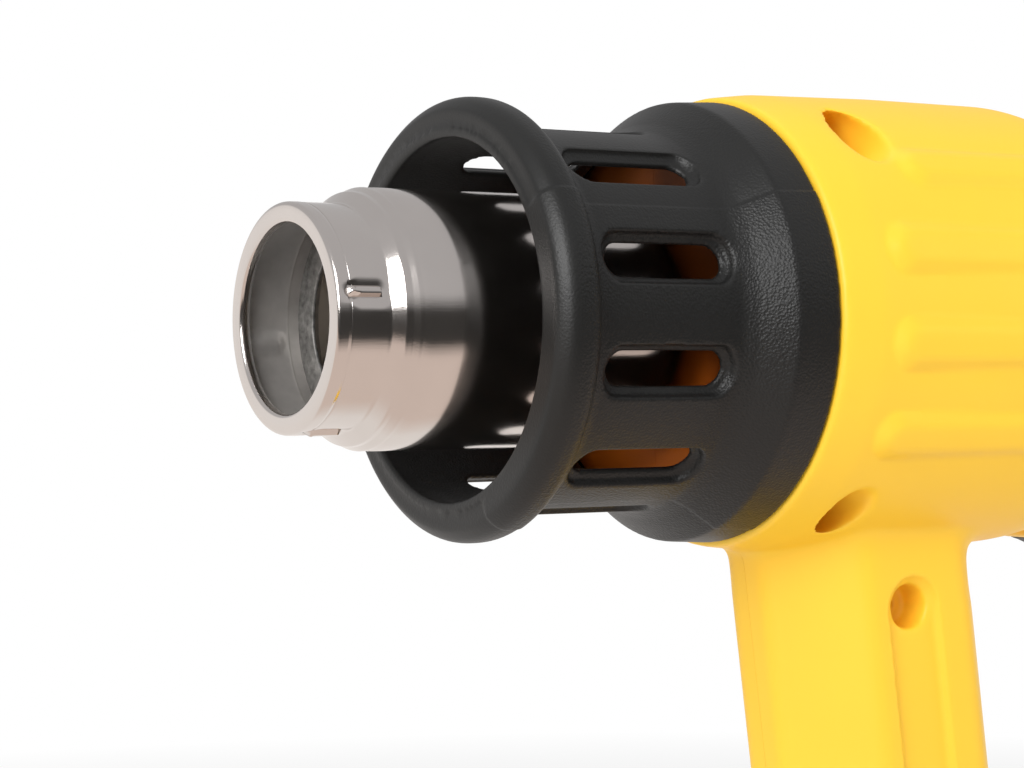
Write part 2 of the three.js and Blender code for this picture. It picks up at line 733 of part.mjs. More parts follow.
// Low heel under the back end, shared by the housing and the rear cap
function heel(from, to) {
  const middle = bodyEnd + SEAT / 2;
  const reach = 20;
  const bottom = -BODY_RADIUS - HEEL_DEPTH;
  const outline = [
    [middle - 8, bottom + 7],
    [middle - 5, bottom + 1.6],
    [middle - 2, bottom],
    [middle + 8, bottom],
    [middle + 15, bottom + 2.2],
    [middle + reach, bottom + 8],
  ];
  const half = HEEL_WIDTH / 2;
  const across = [
    [half - 2.5, bottom],
    [half, bottom + 2],
    [half + 8, -tailRadius + 7],
    [-half - 8, -tailRadius + 7],
    [-half, bottom + 2],
    [-half + 2.5, bottom],
  ];
  return prism(outline, "y", -BODY_RADIUS, BODY_RADIUS).intersect(prism(across, "x", from, to));
}

function housingInside() {
  const lipEdge = bodyEnd - CAP_LIP_LENGTH;
  const body = turned([
    [bulkheadEnd, 0],
    [bulkheadEnd, noseRadius - SHELL_WALL],
    [bodyStart + SHELL_WALL, noseRadius - SHELL_WALL],
    [bodyStart + 4 + SWELL_LENGTH, bodyBore],
    ...tail(bodyBore),
    [lipEdge, tailRadius - SHELL_WALL + 0.3],
    [lipEdge, capSpigotRadius + SLIP],
    [bodyEnd + 1, capSpigotRadius + SLIP],
    [bodyEnd + 1, 0],
  ], "x", LARGE_ROUND);
  return joined(body, handleInside());
}

// Ribs inside the body that hold the duct, the fan case and the motor cradle in place
function locatingRibs() {
  const notch = block([ductStart, bodyEnd], [-leadNotch, leadNotch], [-BODY_RADIUS, -fanCaseRadius + 3]);
  const ring = (inner, from, outer = bodyBore + 0.8) =>
    tube("x", outer, inner, from, from + LOCATING_RIB, LARGE_ROUND);
  const behindFlange = ductStart + ductFlangeThickness + SEAT;
  const front = ring(ductRadius + SLIP, behindFlange, noseRadius - SHELL_WALL + 0.8);
  const fanCase = [coneEnd + 2, ductEnd - 4].map((from) => ring(fanCaseRadius + SLIP, from));
  const behindCradle = ring(bodyBore - 2.4, cradleEnd + SEAT);
  return [front, ...fanCase.map((rib) => rib.subtract(notch)), behindCradle.subtract(notch)];
}

// Everything that is cut from both halves of the housing
function housingCuts() {
  const lean = THREE.MathUtils.radToDeg(HANDLE_LEAN);
  const tubeHole = rod("x", BARREL_RADIUS + SLIP, noseStart - 1, bulkheadEnd + 1, onAirAxis, LARGE_ROUND);
  const recesses = Object.values(screwPlaces).flatMap(([x, z]) => [
    rod("y", RECESS_RADIUS, BOSS_FLOOR, BODY_RADIUS, [x, 0, z], BOSS_ROUND),
    rod("y", RECESS_RADIUS, -BODY_RADIUS, -BOSS_FLOOR, [x, 0, z], BOSS_ROUND),
    rod("y", SCREW_RADIUS + SEAT, -BOSS_FLOOR - 1, BOSS_FLOOR + 1, [x, 0, z], SMALL_ROUND),
  ]);
  const channelTop = upperGripZ + 4.2;
  const channel = slotOutline(CHANNEL_LENGTH, CHANNEL_WIDTH, 6).map(([along, across]) => [across, -along]);
  const channelZ = channelTop - CHANNEL_LENGTH / 2;
  const floor = HANDLE_WIDTH / 2 - CHANNEL_DEPTH;
  const channelCut = (from, to) =>
    prism(channel, "y", from, to).rotate([0, -lean, 0]).translate([gripScrewX(channelZ), 0, channelZ]);
  const glandX = handleMiddle(baseZ);
  const glandHole = turned([
    [baseZ - 1, 0],
    [baseZ - 1, GLAND_RADIUS + SLIP],
    [baseZ + BASE_WALL / 2, GLAND_RADIUS + SLIP],
    [baseZ + BASE_WALL / 2, GLAND_NECK_RADIUS + SLIP],
    [baseZ + BASE_WALL + 2, GLAND_NECK_RADIUS + SLIP],
    [baseZ + BASE_WALL + 2, 0],
  ], "z", MIDDLE_ROUND).translate([glandX, 0, 0]);
  const halfWidth = SWITCH_WIDTH / 2 + SLIP;
  const halfHeight = SWITCH_HEIGHT / 2 + SLIP;
  const switchHole = joined(
    centredBlock([-SHELL_WALL - 2, 3], halfWidth - BEZEL_LIP, halfHeight - BEZEL_LIP),
    centredBlock([-BEZEL_THICKNESS - SEAT, 3], halfWidth, halfHeight),
  ).rotate([0, -lean, 0]).translate([switchX, 0, -SWITCH_DROP]);
  return [
    tubeHole,
    ...recesses,
    channelCut(floor, floor + 4),
    channelCut(-floor - 4, -floor),
    glandHole,
    switchHole,
  ];
}

function closedHousing() {
  const outside = housingOutside();
  const shell = outside.subtract(housingInside());
  const bosses = Object.values(screwPlaces).map(([x, z]) => {
    const post = rod("y", RECESS_RADIUS + BOSS_WALL, -BODY_RADIUS, BODY_RADIUS, [x, 0, z], BOSS_ROUND);
    return post.intersect(outside);
  });
  return cut(joined(shell, bosses, locatingRibs()), housingCuts());
}

// One half of the housing: side is -1 for the left and 1 for the right
function housingHalf(whole, side) {
  const far = BODY_RADIUS * 2;
  const width = side < 0 ? [-far, -SEAT / 2] : [SEAT / 2, far];
  return whole.intersect(block([-1, capEnd], width, [baseZ - 1, far]));
}

// Two posts in the right half that carry the cord clamp
const clampZ = baseZ + BASE_WALL + CLAMP_RISE;
const clampX = handleMiddle(clampZ);
const clampFace = -GLAND_BORE_RADIUS - 0.2;
const clampPlaces = [-1, 1].map((end) => [clampX + (end * CLAMP_SPACING) / 2, 0, clampZ]);
function clampPosts() {
  return clampPlaces.map((place) => {
    const post = rod("y", SMALL_POST_RADIUS, clampFace, HANDLE_WIDTH / 2, place, SMALL_ROUND);
    const hole = rod("y", SMALL_SCREW_RADIUS + SEAT, clampFace - 1, clampFace + 11, place, SMALL_ROUND);
    return post.intersect(handleOutside()).subtract(hole);
  });
}

// A screw along an axis: the head stands at headAt and the shank runs from it by reach
function screw(axis, headRadius, headHeight, shankRadius, headAt, reach, centre) {
  const way = Math.sign(reach);
  const profile = [
    [headAt - way * headHeight, 0],
    [headAt - way * headHeight, headRadius * 0.8],
    [headAt - way * headHeight * 0.5, headRadius],
    [headAt, headRadius],
    [headAt, shankRadius],
    [headAt + reach - way * shankRadius, shankRadius],
    [headAt + reach, shankRadius * 0.4],
    [headAt + reach, 0],
  ];
  return solid(turnedGeometry(profile, axis, SMALL_ROUND).translate(...centre));
}

function smallScrew(axis, headAt, reach, centre) {
  return screw(axis, SMALL_HEAD_RADIUS, SMALL_HEAD_HEIGHT, SMALL_SCREW_RADIUS, headAt, reach, centre);
}

// Where the heater's leads leave the duct
const leadHoleX = (ductStepEnd + coneEnd) / 2;

// Air duct: a flange behind the outlet tube, a straight tube, a cone and the fan case
function airDuct() {
  const step = micaEnd + SEAT;
  const lip = spiderRadius;
  const body = turned([
    [ductStart, ductBore],
    [ductStart, BARREL_RADIUS + TUBE_FLANGE_WIDTH + 1],
    [ductStart + ductFlangeThickness, BARREL_RADIUS + TUBE_FLANGE_WIDTH + 1],
    [ductStart + ductFlangeThickness, ductRadius],
    [ductStepEnd, ductRadius],
    [coneEnd, fanCaseRadius],
    [ductEnd, fanCaseRadius],
    [ductEnd, fanCaseBore],
    [coneEnd + DUCT_WALL / 2, fanCaseBore],
    [ductStepEnd + DUCT_WALL / 2, ductBore],
    [ductStepEnd, lip],
    [step, lip],
    [step, ductBore],
  ], "x", LARGE_ROUND);
  const leadHole = rod("z", 3.4, -fanCaseRadius, -ductBore + 1, [leadHoleX, 0, 0], SMALL_ROUND);
  return body.subtract(leadHole);
}

// One fan blade: a plate that is twisted and wrapped round the hub
function fanBlade() {
  const root = FAN_HUB_RADIUS - 1.2;
  const tip = fanCaseBore - RUNNING;
  const geometry = new THREE.BoxGeometry(BLADE_CHORD, BLADE_THICKNESS, tip - root, 2, 1, 3);
  const position = geometry.attributes.position;
  const middle = (fanStart + fanEnd) / 2;
  for (let i = 0; i < position.count; i += 1) {
    const radius = root + position.getZ(i) + (tip - root) / 2;
    const share = (radius - root) / (tip - root);
    const pitch = THREE.MathUtils.degToRad(42 + 14 * share);
    const along = position.getX(i);
    const camber = position.getY(i) + 1.2 * (1 - (2 * along / BLADE_CHORD) ** 2);
    const x = along * Math.cos(pitch) - camber * Math.sin(pitch);
    const round = (along * Math.sin(pitch) + camber * Math.cos(pitch)) / radius;
    position.setXYZ(i, middle + x, radius * Math.sin(round), radius * Math.cos(round));
  }
  return solid(geometry);
}

function fanImpeller() {
  const bore = SHAFT_RADIUS + SEAT;
  const hub = turned([
    [fanStart, bore],
    [fanStart, FAN_HUB_RADIUS * 0.55],
    [fanStart + 2.2, FAN_HUB_RADIUS * 0.92],
    [fanStart + 5, FAN_HUB_RADIUS],
    [fanEnd, FAN_HUB_RADIUS],
    [fanEnd, bore],
  ], "x", MIDDLE_ROUND);
  const shaftSpace = rod("x", bore, fanStart - 1, fanEnd + 1);
  return joined(hub, roundTheAxis(fanBlade(), BLADE_COUNT)).subtract(shaftSpace);
}

// Armature, commutator and shaft, turned in one with the fan
function motorRotor() {
  const commutatorEnd = armatureEnd + COMMUTATOR_LENGTH;
  const body = turned([
    [fanStart + 0.5, 0],
    [fanStart + 0.5, SHAFT_RADIUS],
    [armatureStart, SHAFT_RADIUS],
    [armatureStart, ARMATURE_RADIUS],
    [armatureEnd, ARMATURE_RADIUS],
    [armatureEnd, SHAFT_RADIUS + 2.6],
    [commutatorEnd, SHAFT_RADIUS + 2.6],
    [commutatorEnd, SHAFT_RADIUS],
    [bellEnd - 0.8, SHAFT_RADIUS],
    [bellEnd - 0.8, 0],
  ], "x", MIDDLE_ROUND + 1);
  const outer = ARMATURE_RADIUS + 1;
  const slot = block([armatureStart - 1, armatureEnd + 1], [-1.1, 1.1], [ARMATURE_RADIUS * 0.55, outer]);
  return cut(body, roundTheAxis(slot, 5));
}

const screwSides = { left: -1, right: 1 };

function motorScrewHoles(from, to) {
  return Object.values(screwSides).map((side) => {
    const place = [0, side * MOTOR_SCREW_OFFSET, 0];
    return rod("x", SMALL_SCREW_RADIUS + SLIP, from, to, place, SMALL_ROUND);
  });
}

function motorCan() {
  const bore = SHAFT_RADIUS + SEAT;
  const can = turned([
    [motorStart - BEARING_LENGTH, bore],
    [motorStart - BEARING_LENGTH, BEARING_RADIUS],
    [motorStart, BEARING_RADIUS],
    [motorStart, MOTOR_RADIUS],
    [motorEnd, MOTOR_RADIUS],
    [motorEnd, MOTOR_RADIUS - MOTOR_WALL],
    [motorStart + MOTOR_WALL, MOTOR_RADIUS - MOTOR_WALL],
    [motorStart + MOTOR_WALL, bore],
  ], "x", MIDDLE_ROUND);
  return cut(can, motorScrewHoles(motorStart - 1, motorStart + 2));
}

const tabLength = 3.2;
const tabOffset = 10;
function motorEndBell() {
  const bore = SHAFT_RADIUS + SEAT;
  const spigot = MOTOR_RADIUS - MOTOR_WALL - SEAT;
  const bell = turned([
    [bellStart - 1.8, bore],
    [bellStart - 1.8, spigot],
    [bellStart, spigot],
    [bellStart, MOTOR_RADIUS],
    [bellEnd - 0.8, MOTOR_RADIUS],
    [bellEnd, MOTOR_RADIUS - 0.8],
    [bellEnd, bore],
  ], "x", MIDDLE_ROUND);
  const tabs = Object.values(screwSides).map((side) => {
    const middle = side * tabOffset;
    return block([bellEnd - 0.5, bellEnd + tabLength], [middle - 1.5, middle + 1.5], [-0.4, 0.4]);
  });
  return joined(bell, tabs);
}

// Cradle: a ring in the housing, spokes and a sleeve that grips the motor's front end
function motorCradle() {
  const sleeveBore = MOTOR_RADIUS + SLIP;
  const sleeveOuter = sleeveBore + 2.4;
  const ringBore = bodyBore - SLIP - CRADLE_RING_WIDTH;
  const ring = tube("x", bodyBore - SLIP, ringBore, cradleStart, cradleEnd, LARGE_ROUND);
  const plate = tube("x", sleeveOuter, BEARING_RADIUS + SLIP, cradleStart, cradleEnd);
  const sleeve = tube("x", sleeveOuter, sleeveBore, cradleStart, cradleEnd + CRADLE_SLEEVE_LENGTH);
  const spoke = block([cradleStart, cradleEnd], [-2, 2], [sleeveBore + 0.5, bodyBore - 1.5]);
  const holes = motorScrewHoles(cradleStart - 1, cradleEnd + 1);
  const notch = block([cradleStart - 1, cradleEnd + 1], [-leadNotch, leadNotch], [-BODY_RADIUS, -ringBore]);
  return cut(joined(ring, plate, sleeve, roundTheAxis(spoke, CRADLE_SPOKES)), holes, notch);
}

const boardHoles = [-1, 1].map((side) => [0, side * BOARD_SCREW_OFFSET, side * BOARD_SCREW_OFFSET]);

// Rear cap: a vented cup with a flat rim to stand on and a dish for the dial
function rearCap() {
  const rimOuter = DISH_RADIUS + 1 + RIM_WIDTH;
  const spindleHole = SPINDLE_RADIUS + 0.6;
  const shoulderEnd = capStart + 2.5;
  const cup = turned([
    [capFlangeStart, capSpigotRadius - CAP_WALL],
    [capFlangeStart, capSpigotRadius + 2],
    [capFlangeEnd, capSpigotRadius + 2],
    [capFlangeEnd, capSpigotRadius],
    [capStart, capSpigotRadius],
    [capStart, tailRadius + 0.2],
    [capStart + 2, capRadius],
    [capEnd - 13, capRadius - 0.5],
    [capEnd - 5, capRadius - 2.4],
    [capEnd, rimOuter],
    [capEnd, DISH_RADIUS + 1],
    [dishFace, DISH_RADIUS],
    [dishFace, spindleHole],
    [dishBack, spindleHole],
    [dishBack, capRadius - 5],
    [capEnd - 13, capRadius - 0.5 - CAP_WALL],
    [shoulderEnd, capRadius - 0.2 - CAP_WALL],
    [shoulderEnd, capSpigotRadius - CAP_WALL],
  ], "x", LARGE_ROUND);
  const intakeMiddle = (shoulderEnd + dishBack) / 2;
  const intake = radialSlot(INTAKE_LENGTH, INTAKE_WIDTH, intakeMiddle, capRadius - 6, capRadius + 2);
  const dishSlotOutline = slotOutline(DISH_RADIUS - DIAL_RADIUS - 4, 2.6);
  const dishSlot = prism(dishSlotOutline, "x", dishBack - 1, dishFace + 1)
    .translate([0, (DISH_RADIUS + DIAL_RADIUS) / 2 + 0.8, 0]);
  const atBoardHoles = (radius, from, to) =>
    boardHoles.map((place) => rod("x", radius, from, to, place, SMALL_ROUND));
  const bosses = atBoardHoles(SMALL_POST_RADIUS, boardEnd + SEAT, dishBack + 0.5);
  const bossHoles = atBoardHoles(SMALL_SCREW_RADIUS + SEAT, boardEnd, dishBack - 0.8);
  const body = joined(cup, heel(capStart, capEnd).subtract(rod("x", capRadius - 1.5, capStart, capEnd)));
  const clearOfHeel = 360 / INTAKE_COUNT / 2;
  const cutters = roundTheAxis(intake, INTAKE_COUNT, clearOfHeel).filter((_, i) => !underHeel(i));
  return cut(joined(cut(body, cutters), bosses), roundTheAxis(dishSlot, DISH_SLOT_COUNT), bossHoles);
}

// The intake slots that would open into the heel are left out
function underHeel(index) {
  const pitch = 360 / INTAKE_COUNT;
  const fromTop = (index + 0.5) * pitch;
  return Math.abs(fromTop - 180) < pitch;
}

function circuitBoard() {
  const holes = boardHoles.map((place) =>
    rod("x", SMALL_SCREW_RADIUS + SLIP, boardStart - 1, boardEnd + 1, place, SMALL_ROUND));
  return cut(rod("x", BOARD_RADIUS, boardStart, boardEnd), holes);
}

// Parts that stand on the board's front, outside the motor
const partOffset = BOARD_RADIUS - 3.6;
const onBoard = boardStart - SEAT;
function heatSink() {
  const along = [onBoard - HEAT_SINK_HEIGHT, onBoard];
  const half = HEAT_SINK_WIDTH / 2;
  const wall = HEAT_SINK_WALL / 2;
  const back = block(along, [partOffset - wall, partOffset + wall], [-half, half]);
  const fins = [];
  const pitch = (HEAT_SINK_WIDTH - FIN_THICKNESS) / (HEAT_SINK_FINS - 1);
  for (let i = 0; i < HEAT_SINK_FINS; i += 1) {
    const start = -half + i * pitch;
    fins.push(block(along, [partOffset, partOffset + 3], [start, start + FIN_THICKNESS]));
  }
  return joined(back, fins);
}

function triac() {
  const face = partOffset - HEAT_SINK_WALL / 2 - SEAT;
  return block([onBoard - 11, onBoard], [face - 2.3, face], [-3, 3]);
}

// Dial: a knob with finger grips, a socket for its spindle and a pointer line
function dial() {
  const outline = [];
  const points = DIAL_GRIPS * 4;
  for (let i = 0; i < points; i += 1) {
    const angle = (2 * Math.PI * i) / points;
    const radius = DIAL_RADIUS - 0.45 + 0.45 * Math.cos(DIAL_GRIPS * angle);
    outline.push([radius * Math.cos(angle), radius * Math.sin(angle)]);
  }
  const start = dishFace + SLIP;
  const end = start + DIAL_THICKNESS;
  const knob = prism(outline, "x", start, end);
  const socket = rod("x", SPINDLE_RADIUS + SEAT, start - 1, end - 1.4);
  const pointer = block([end - 0.6, end + 1], [-0.6, 0.6], [DIAL_RADIUS * 0.45, DIAL_RADIUS + 1]);
  return cut(knob, socket, pointer);
}

// Switch body: a bezel in the handle's back and a box behind it, in the handle's own lean
const rockerReach = Math.hypot(ROCKER_HEIGHT / 2, ROCKER_PIVOT_DEPTH + ROCKER_CROWN);
const pivotPlace = [-ROCKER_PIVOT_DEPTH, 0, 0];
function switchBody() {
  const halfWidth = SWITCH_WIDTH / 2;
  const halfHeight = SWITCH_HEIGHT / 2;
  const bezel = centredBlock([-BEZEL_THICKNESS, 0.6], halfWidth, halfHeight);
  const box = centredBlock([-SWITCH_DEPTH, 0], halfWidth - BEZEL_LIP, halfHeight - BEZEL_LIP);
  const well = centredBlock([-ROCKER_PIVOT_DEPTH - 5, 2], ROCKER_WIDTH / 2 + SEAT, rockerReach + SLIP);
  const pinEnd = ROCKER_WIDTH / 2 + ROCKER_PIN_REACH + SEAT;
  const pinHole = rod("y", ROCKER_PIN_RADIUS + SEAT, -pinEnd, pinEnd, pivotPlace, SMALL_ROUND);
  return cut(joined(bezel, box), well, pinHole);
}

// Rocker: hollow topped, so that either end can be pressed, on a pin through its middle
function switchRocker() {
  const half = ROCKER_HEIGHT / 2;
  const outline = [
    [ROCKER_CROWN, -half],
    [-0.3, 0],
    [ROCKER_CROWN, half],
    [-2.2, half * 0.97],
    [-ROCKER_PIVOT_DEPTH - 2.4, half * 0.45],
    [-ROCKER_PIVOT_DEPTH - 3, 0],
    [-ROCKER_PIVOT_DEPTH - 2.4, -half * 0.45],
    [-2.2, -half * 0.97],
  ];
  const plate = prism(outline, "y", -ROCKER_WIDTH / 2, ROCKER_WIDTH / 2);
  const pinEnd = ROCKER_WIDTH / 2 + ROCKER_PIN_REACH;
  const pin = rod("y", ROCKER_PIN_RADIUS, -pinEnd, pinEnd, pivotPlace, SMALL_ROUND);
  return joined(plate, pin);
}

// Gland: a rubber bush with a groove that the handle's base closes on
function cordGland() {
  const lower = baseZ + 0.4;
  const counterbore = baseZ + BASE_WALL / 2 - SEAT;
  const upper = baseZ + BASE_WALL + SEAT;
  return turned([
    [lower, GLAND_BORE_RADIUS],
    [lower, GLAND_RADIUS - 0.4],
    [lower + 0.4, GLAND_RADIUS],
    [counterbore, GLAND_RADIUS],
    [counterbore, GLAND_NECK_RADIUS],
    [upper, GLAND_NECK_RADIUS],
    [upper, GLAND_RADIUS],
    [upper + 2, GLAND_RADIUS - 1],
    [upper + 2, GLAND_BORE_RADIUS],
  ], "z", MIDDLE_ROUND).translate([handleMiddle(baseZ), 0, 0]);
}

// Clamp: a bar across the two posts, with a screw at each end
function cordClamp() {
  const front = clampFace - SEAT;
  const half = CLAMP_HEIGHT / 2;
  const end = CLAMP_SPACING / 2 + half;
  const thickness = [front - CLAMP_THICKNESS, front];
  const bar = block([clampX - end, clampX + end], thickness, [clampZ - half, clampZ + half]);
  const holes = clampPlaces.map((place) =>
    rod("y", SMALL_SCREW_RADIUS + SEAT, front - CLAMP_THICKNESS - 1, front + 1, place, SMALL_ROUND));
  return cut(bar, holes);
}

// Outlet tube, heater and guard
addPiece("nozzle_tube", outletTube(), polishedSteel());
addPiece("nozzle_sleeve", outletSleeve(), plainSteel());
addPiece("mica_tube", tube("x", sleeveRadius, sleeveRadius - MICA_WALL, micaStart, micaEnd), mica());
addPiece("heater_former", heaterFormer(), ceramic());
addPiece("heater_coil", heaterCoil(), heatingWire());
addPiece("heater_spider", heaterSpider(), mica());
addPiece("thermal_cutout", rod("x", CUTOUT_RADIUS, cutoutStart, cutoutEnd), plainSteel());
addPiece("nozzle_guard", nozzleGuard(), blackPlastic());

// Housing and its screws
const housing = closedHousing();
addPiece("housing_left", housingHalf(housing, -1), yellowPlastic());
addPiece("housing_right", joined(housingHalf(housing, 1), clampPosts()), yellowPlastic());
for (const [place, [x, z]] of Object.entries(screwPlaces)) {
  const headAt = BOSS_FLOOR + SEAT;
  const reach = -headAt - SCREW_TIP;
  const body = screw("y", SCREW_HEAD_RADIUS, SCREW_HEAD_HEIGHT, SCREW_RADIUS, headAt, reach, [x, 0, z]);
  addPiece("housing_screw_" + place, body, plainSteel());
}

// Duct, fan and motor
addPiece("air_duct", airDuct(), darkNylon());
addPiece("fan_impeller", fanImpeller(), darkNylon());
addPiece("motor_rotor", motorRotor(), plainSteel());
addPiece("motor_can", motorCan(), plainSteel());
addPiece("motor_end_bell", motorEndBell(), darkNylon());
for (const [place, middle] of Object.entries({ upper: 90, lower: 270 })) {
  const arc = arcShape(magnetInner, magnetOuter, middle - MAGNET_SPAN / 2, middle + MAGNET_SPAN / 2);
  addPiece("motor_magnet_" + place, prism(arc, "x", armatureStart, armatureEnd), darkNylon());
}
addPiece("motor_cradle", motorCradle(), darkNylon());
for (const [place, side] of Object.entries(screwSides)) {
  const centre = [0, side * MOTOR_SCREW_OFFSET, 0];
  const body = smallScrew("x", cradleStart - SEAT, CRADLE_THICKNESS + 3, centre);
  addPiece("motor_screw_" + place, body, plainSteel());
}

// Rear cap, board and dial
addPiece("rear_cap", rearCap(), blackPlastic());
addPiece("circuit_board", circuitBoard(), boardLaminate());
for (const [place, centre] of Object.entries({ lower: boardHoles[0], upper: boardHoles[1] })) {
  const body = smallScrew("x", boardStart - SEAT, BOARD_THICKNESS + 4.4, centre);
  addPiece("board_screw_" + place, body, plainSteel());
}
addPiece("capacitor", rod("x", 3.1, onBoard - 14, onBoard, [0, 0, partOffset]), darkNylon());
addPiece("heat_sink", heatSink(), aluminium());
addPiece("triac", triac(), darkNylon());
const rectifier = block([onBoard - 9, onBoard], [-partOffset - 1.6, -partOffset + 1.6], [-6, 6]);
addPiece("rectifier", rectifier, darkNylon());
const potBody = rod("x", POT_RADIUS, potStart, potStart + POT_LENGTH);
const potBore = rod("x", SPINDLE_RADIUS + SEAT, potStart + 2, potStart + POT_LENGTH + 1);
addPiece("potentiometer", potBody.subtract(potBore), plainSteel());
const spindleEnd = dishFace + SLIP + DIAL_THICKNESS - 1.4 - SEAT;
addPiece("dial_spindle", rod("x", SPINDLE_RADIUS, potStart + 2 + SEAT, spindleEnd), ceramic());
addPiece("temperature_dial", dial(), blackPlastic());

// Switch, gland and clamp in the handle
const switchGroup = new THREE.Group();
switchGroup.position.set(switchX, 0, -SWITCH_DROP);
switchGroup.rotation.y = -HANDLE_LEAN;
pieces.add(switchGroup);
addPiece("switch_body", switchBody(), blackPlastic(), switchGroup);
addPiece("switch_rocker", switchRocker(), redRocker(), switchGroup);
addPiece("cord_gland", cordGland(), blackRubber());
addPiece("cord_clamp", cordClamp(), darkNylon());
for (const [place, centre] of Object.entries({ front: clampPlaces[0], back: clampPlaces[1] })) {
  const headAt = clampFace - 2 * SEAT - CLAMP_THICKNESS;
  const body = smallScrew("y", headAt, CLAMP_THICKNESS + 9, centre);
  addPiece("clamp_screw_" + place, body, plainSteel());
}

// Leads: from the cut-out and the board to the switch, and from the motor to the board
switchGroup.updateMatrix();
function switchTerminal(side, height) {
  const point = new THREE.Vector3(-SWITCH_DEPTH - SEAT, side, height);
  return point.applyMatrix4(switchGroup.matrix).toArray();
}
const throatZ = -BODY_RADIUS;
const inHandle = (x, y, z) => [handleFront(z) + 11 + x, y, z];
for (const [place, side] of Object.entries(screwSides)) {
  const [switchEndX, , switchEndZ] = switchTerminal(3.2 * side, 5);
  const heaterLead = [
    [cutoutEnd + SEAT, 2 * side, 0],
    [cutoutEnd + 2.5, 2 * side, -1],
    [leadHoleX - 0.5, 1.7 * side, -ductBore + 6],
    [leadHoleX, 1.7 * side, -ductBore - 4],
    [leadHoleX - 1, 1.9 * side, -fanCaseRadius + 1],
    inHandle(2, 3 * side, throatZ - 4.7),
    inHandle(0, 3.2 * side, throatZ - 16.7),
    inHandle(2, 3.2 * side, 16 - SWITCH_DROP),
    [switchEndX - 5, 3.2 * side, switchEndZ + 0.5],
    [switchEndX, 3.2 * side, switchEndZ],
  ];
  addPiece("heater_lead_" + place, wire(heaterLead, LEAD_RADIUS, 22), insulation(0x8c1d18));
  const [boardEndX, , boardEndZ] = switchTerminal(3.2 * side, -5);
  const underDuct = -(fanCaseRadius + bodyBore) / 2;
  const boardLead = [
    [boardEndX, 3.2 * side, boardEndZ],
    [boardEndX - 4, 4 * side, boardEndZ - 0.5],
    inHandle(-1, 6 * side, 8 - SWITCH_DROP),
    inHandle(0, 6 * side, throatZ - 20.7),
    inHandle(0, 6 * side, throatZ - 6.7),
    inHandle(5, 5.4 * side, throatZ + 1.3),
    [coneEnd - 1, 4.2 * side, underDuct + 0.4],
    [coneEnd + 6, 4 * side, underDuct + 0.3],
    [cradleEnd + 1, 4 * side, underDuct + 0.4],
    [capFlangeStart - 2, 4 * side, -capSpigotRadius + 4.6],
    [capStart + 6, 4 * side, -partOffset],
    [onBoard - 4, 4 * side, -partOffset],
    [onBoard, 4 * side, -partOffset],
  ];
  addPiece("board_lead_" + place, wire(boardLead, LEAD_RADIUS, 26), insulation(0x1d3f7a));
  const tabMiddle = bellEnd + tabLength - 1;
  const motorLead = [
    [tabMiddle, tabOffset * side, -0.4 - SEAT],
    [tabMiddle, tabOffset * side, -2.6],
    [tabMiddle + 0.8, tabOffset * side, -5.4],
    [onBoard - 1, tabOffset * side, -6.6],
    [onBoard, tabOffset * side, -6.6],
  ];
  addPiece("motor_lead_" + place, wire(motorLead, LEAD_RADIUS - 0.1, 8), insulation(0x222222));
}

export default tool;
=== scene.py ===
# Hot air tool: polished steel outlet, grained black guard, satin yellow housing, vented rear cap.
# The frame is in metres. The pieces are drawn in millimetres: x back from the outlet's lip,
# y and z from the air axis.
import json
import math
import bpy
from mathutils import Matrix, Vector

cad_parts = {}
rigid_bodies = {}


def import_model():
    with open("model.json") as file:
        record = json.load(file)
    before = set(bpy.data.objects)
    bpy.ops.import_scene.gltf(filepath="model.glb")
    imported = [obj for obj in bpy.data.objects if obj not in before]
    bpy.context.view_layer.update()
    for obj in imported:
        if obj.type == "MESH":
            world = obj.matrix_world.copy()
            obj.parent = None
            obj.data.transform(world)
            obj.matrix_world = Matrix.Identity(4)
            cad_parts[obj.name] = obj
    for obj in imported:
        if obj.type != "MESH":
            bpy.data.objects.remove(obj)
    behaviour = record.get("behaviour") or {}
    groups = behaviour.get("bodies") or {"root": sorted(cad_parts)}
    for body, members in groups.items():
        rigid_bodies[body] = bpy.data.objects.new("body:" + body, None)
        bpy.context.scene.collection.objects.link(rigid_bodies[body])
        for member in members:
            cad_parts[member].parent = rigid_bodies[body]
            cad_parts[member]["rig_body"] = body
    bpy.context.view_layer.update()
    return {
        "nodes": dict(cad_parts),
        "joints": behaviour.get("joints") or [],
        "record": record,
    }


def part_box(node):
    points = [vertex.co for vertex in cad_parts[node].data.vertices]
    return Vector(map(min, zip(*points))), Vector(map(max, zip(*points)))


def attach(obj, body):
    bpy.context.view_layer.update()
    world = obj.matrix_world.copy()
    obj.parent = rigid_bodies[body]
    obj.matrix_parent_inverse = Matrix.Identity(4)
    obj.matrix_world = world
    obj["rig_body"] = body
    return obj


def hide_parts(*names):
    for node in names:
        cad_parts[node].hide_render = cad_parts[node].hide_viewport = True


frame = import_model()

from types import SimpleNamespace

import bmesh
import bpy
from bpy.props import FloatProperty, FloatVectorProperty, IntProperty, PointerProperty
from mathutils import Matrix, Vector

bl_info = {
    "name": "Hot Air Tool Builder",
    "version": (1, 0, 0),
    "blender": (4, 5, 0),
    "location": "View3D > Sidebar > Hot Air Tool",
    "description": "Models and finishes the visible pieces of a pistol grip hot air tool",
    "category": "Object",
}

MM = 0.001
JOINT_PLACES = {joint["name"]: joint["pos_m"] for joint in frame["joints"]}
AXIS_Z = JOINT_PLACES["fan_spin"][2]
ORIGIN = Vector((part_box("nozzle_tube")[0].x, 0.0, AXIS_Z))
SLOT_OF = {part["node"]: part["material_slot"] for part in frame["record"]["subparts"]}


def metres(x, y=0.0, z=0.0):
    """The frame's point for millimetres back from the lip, across, and up from the air axis."""
    return ORIGIN + Vector((x, y, z)) * MM


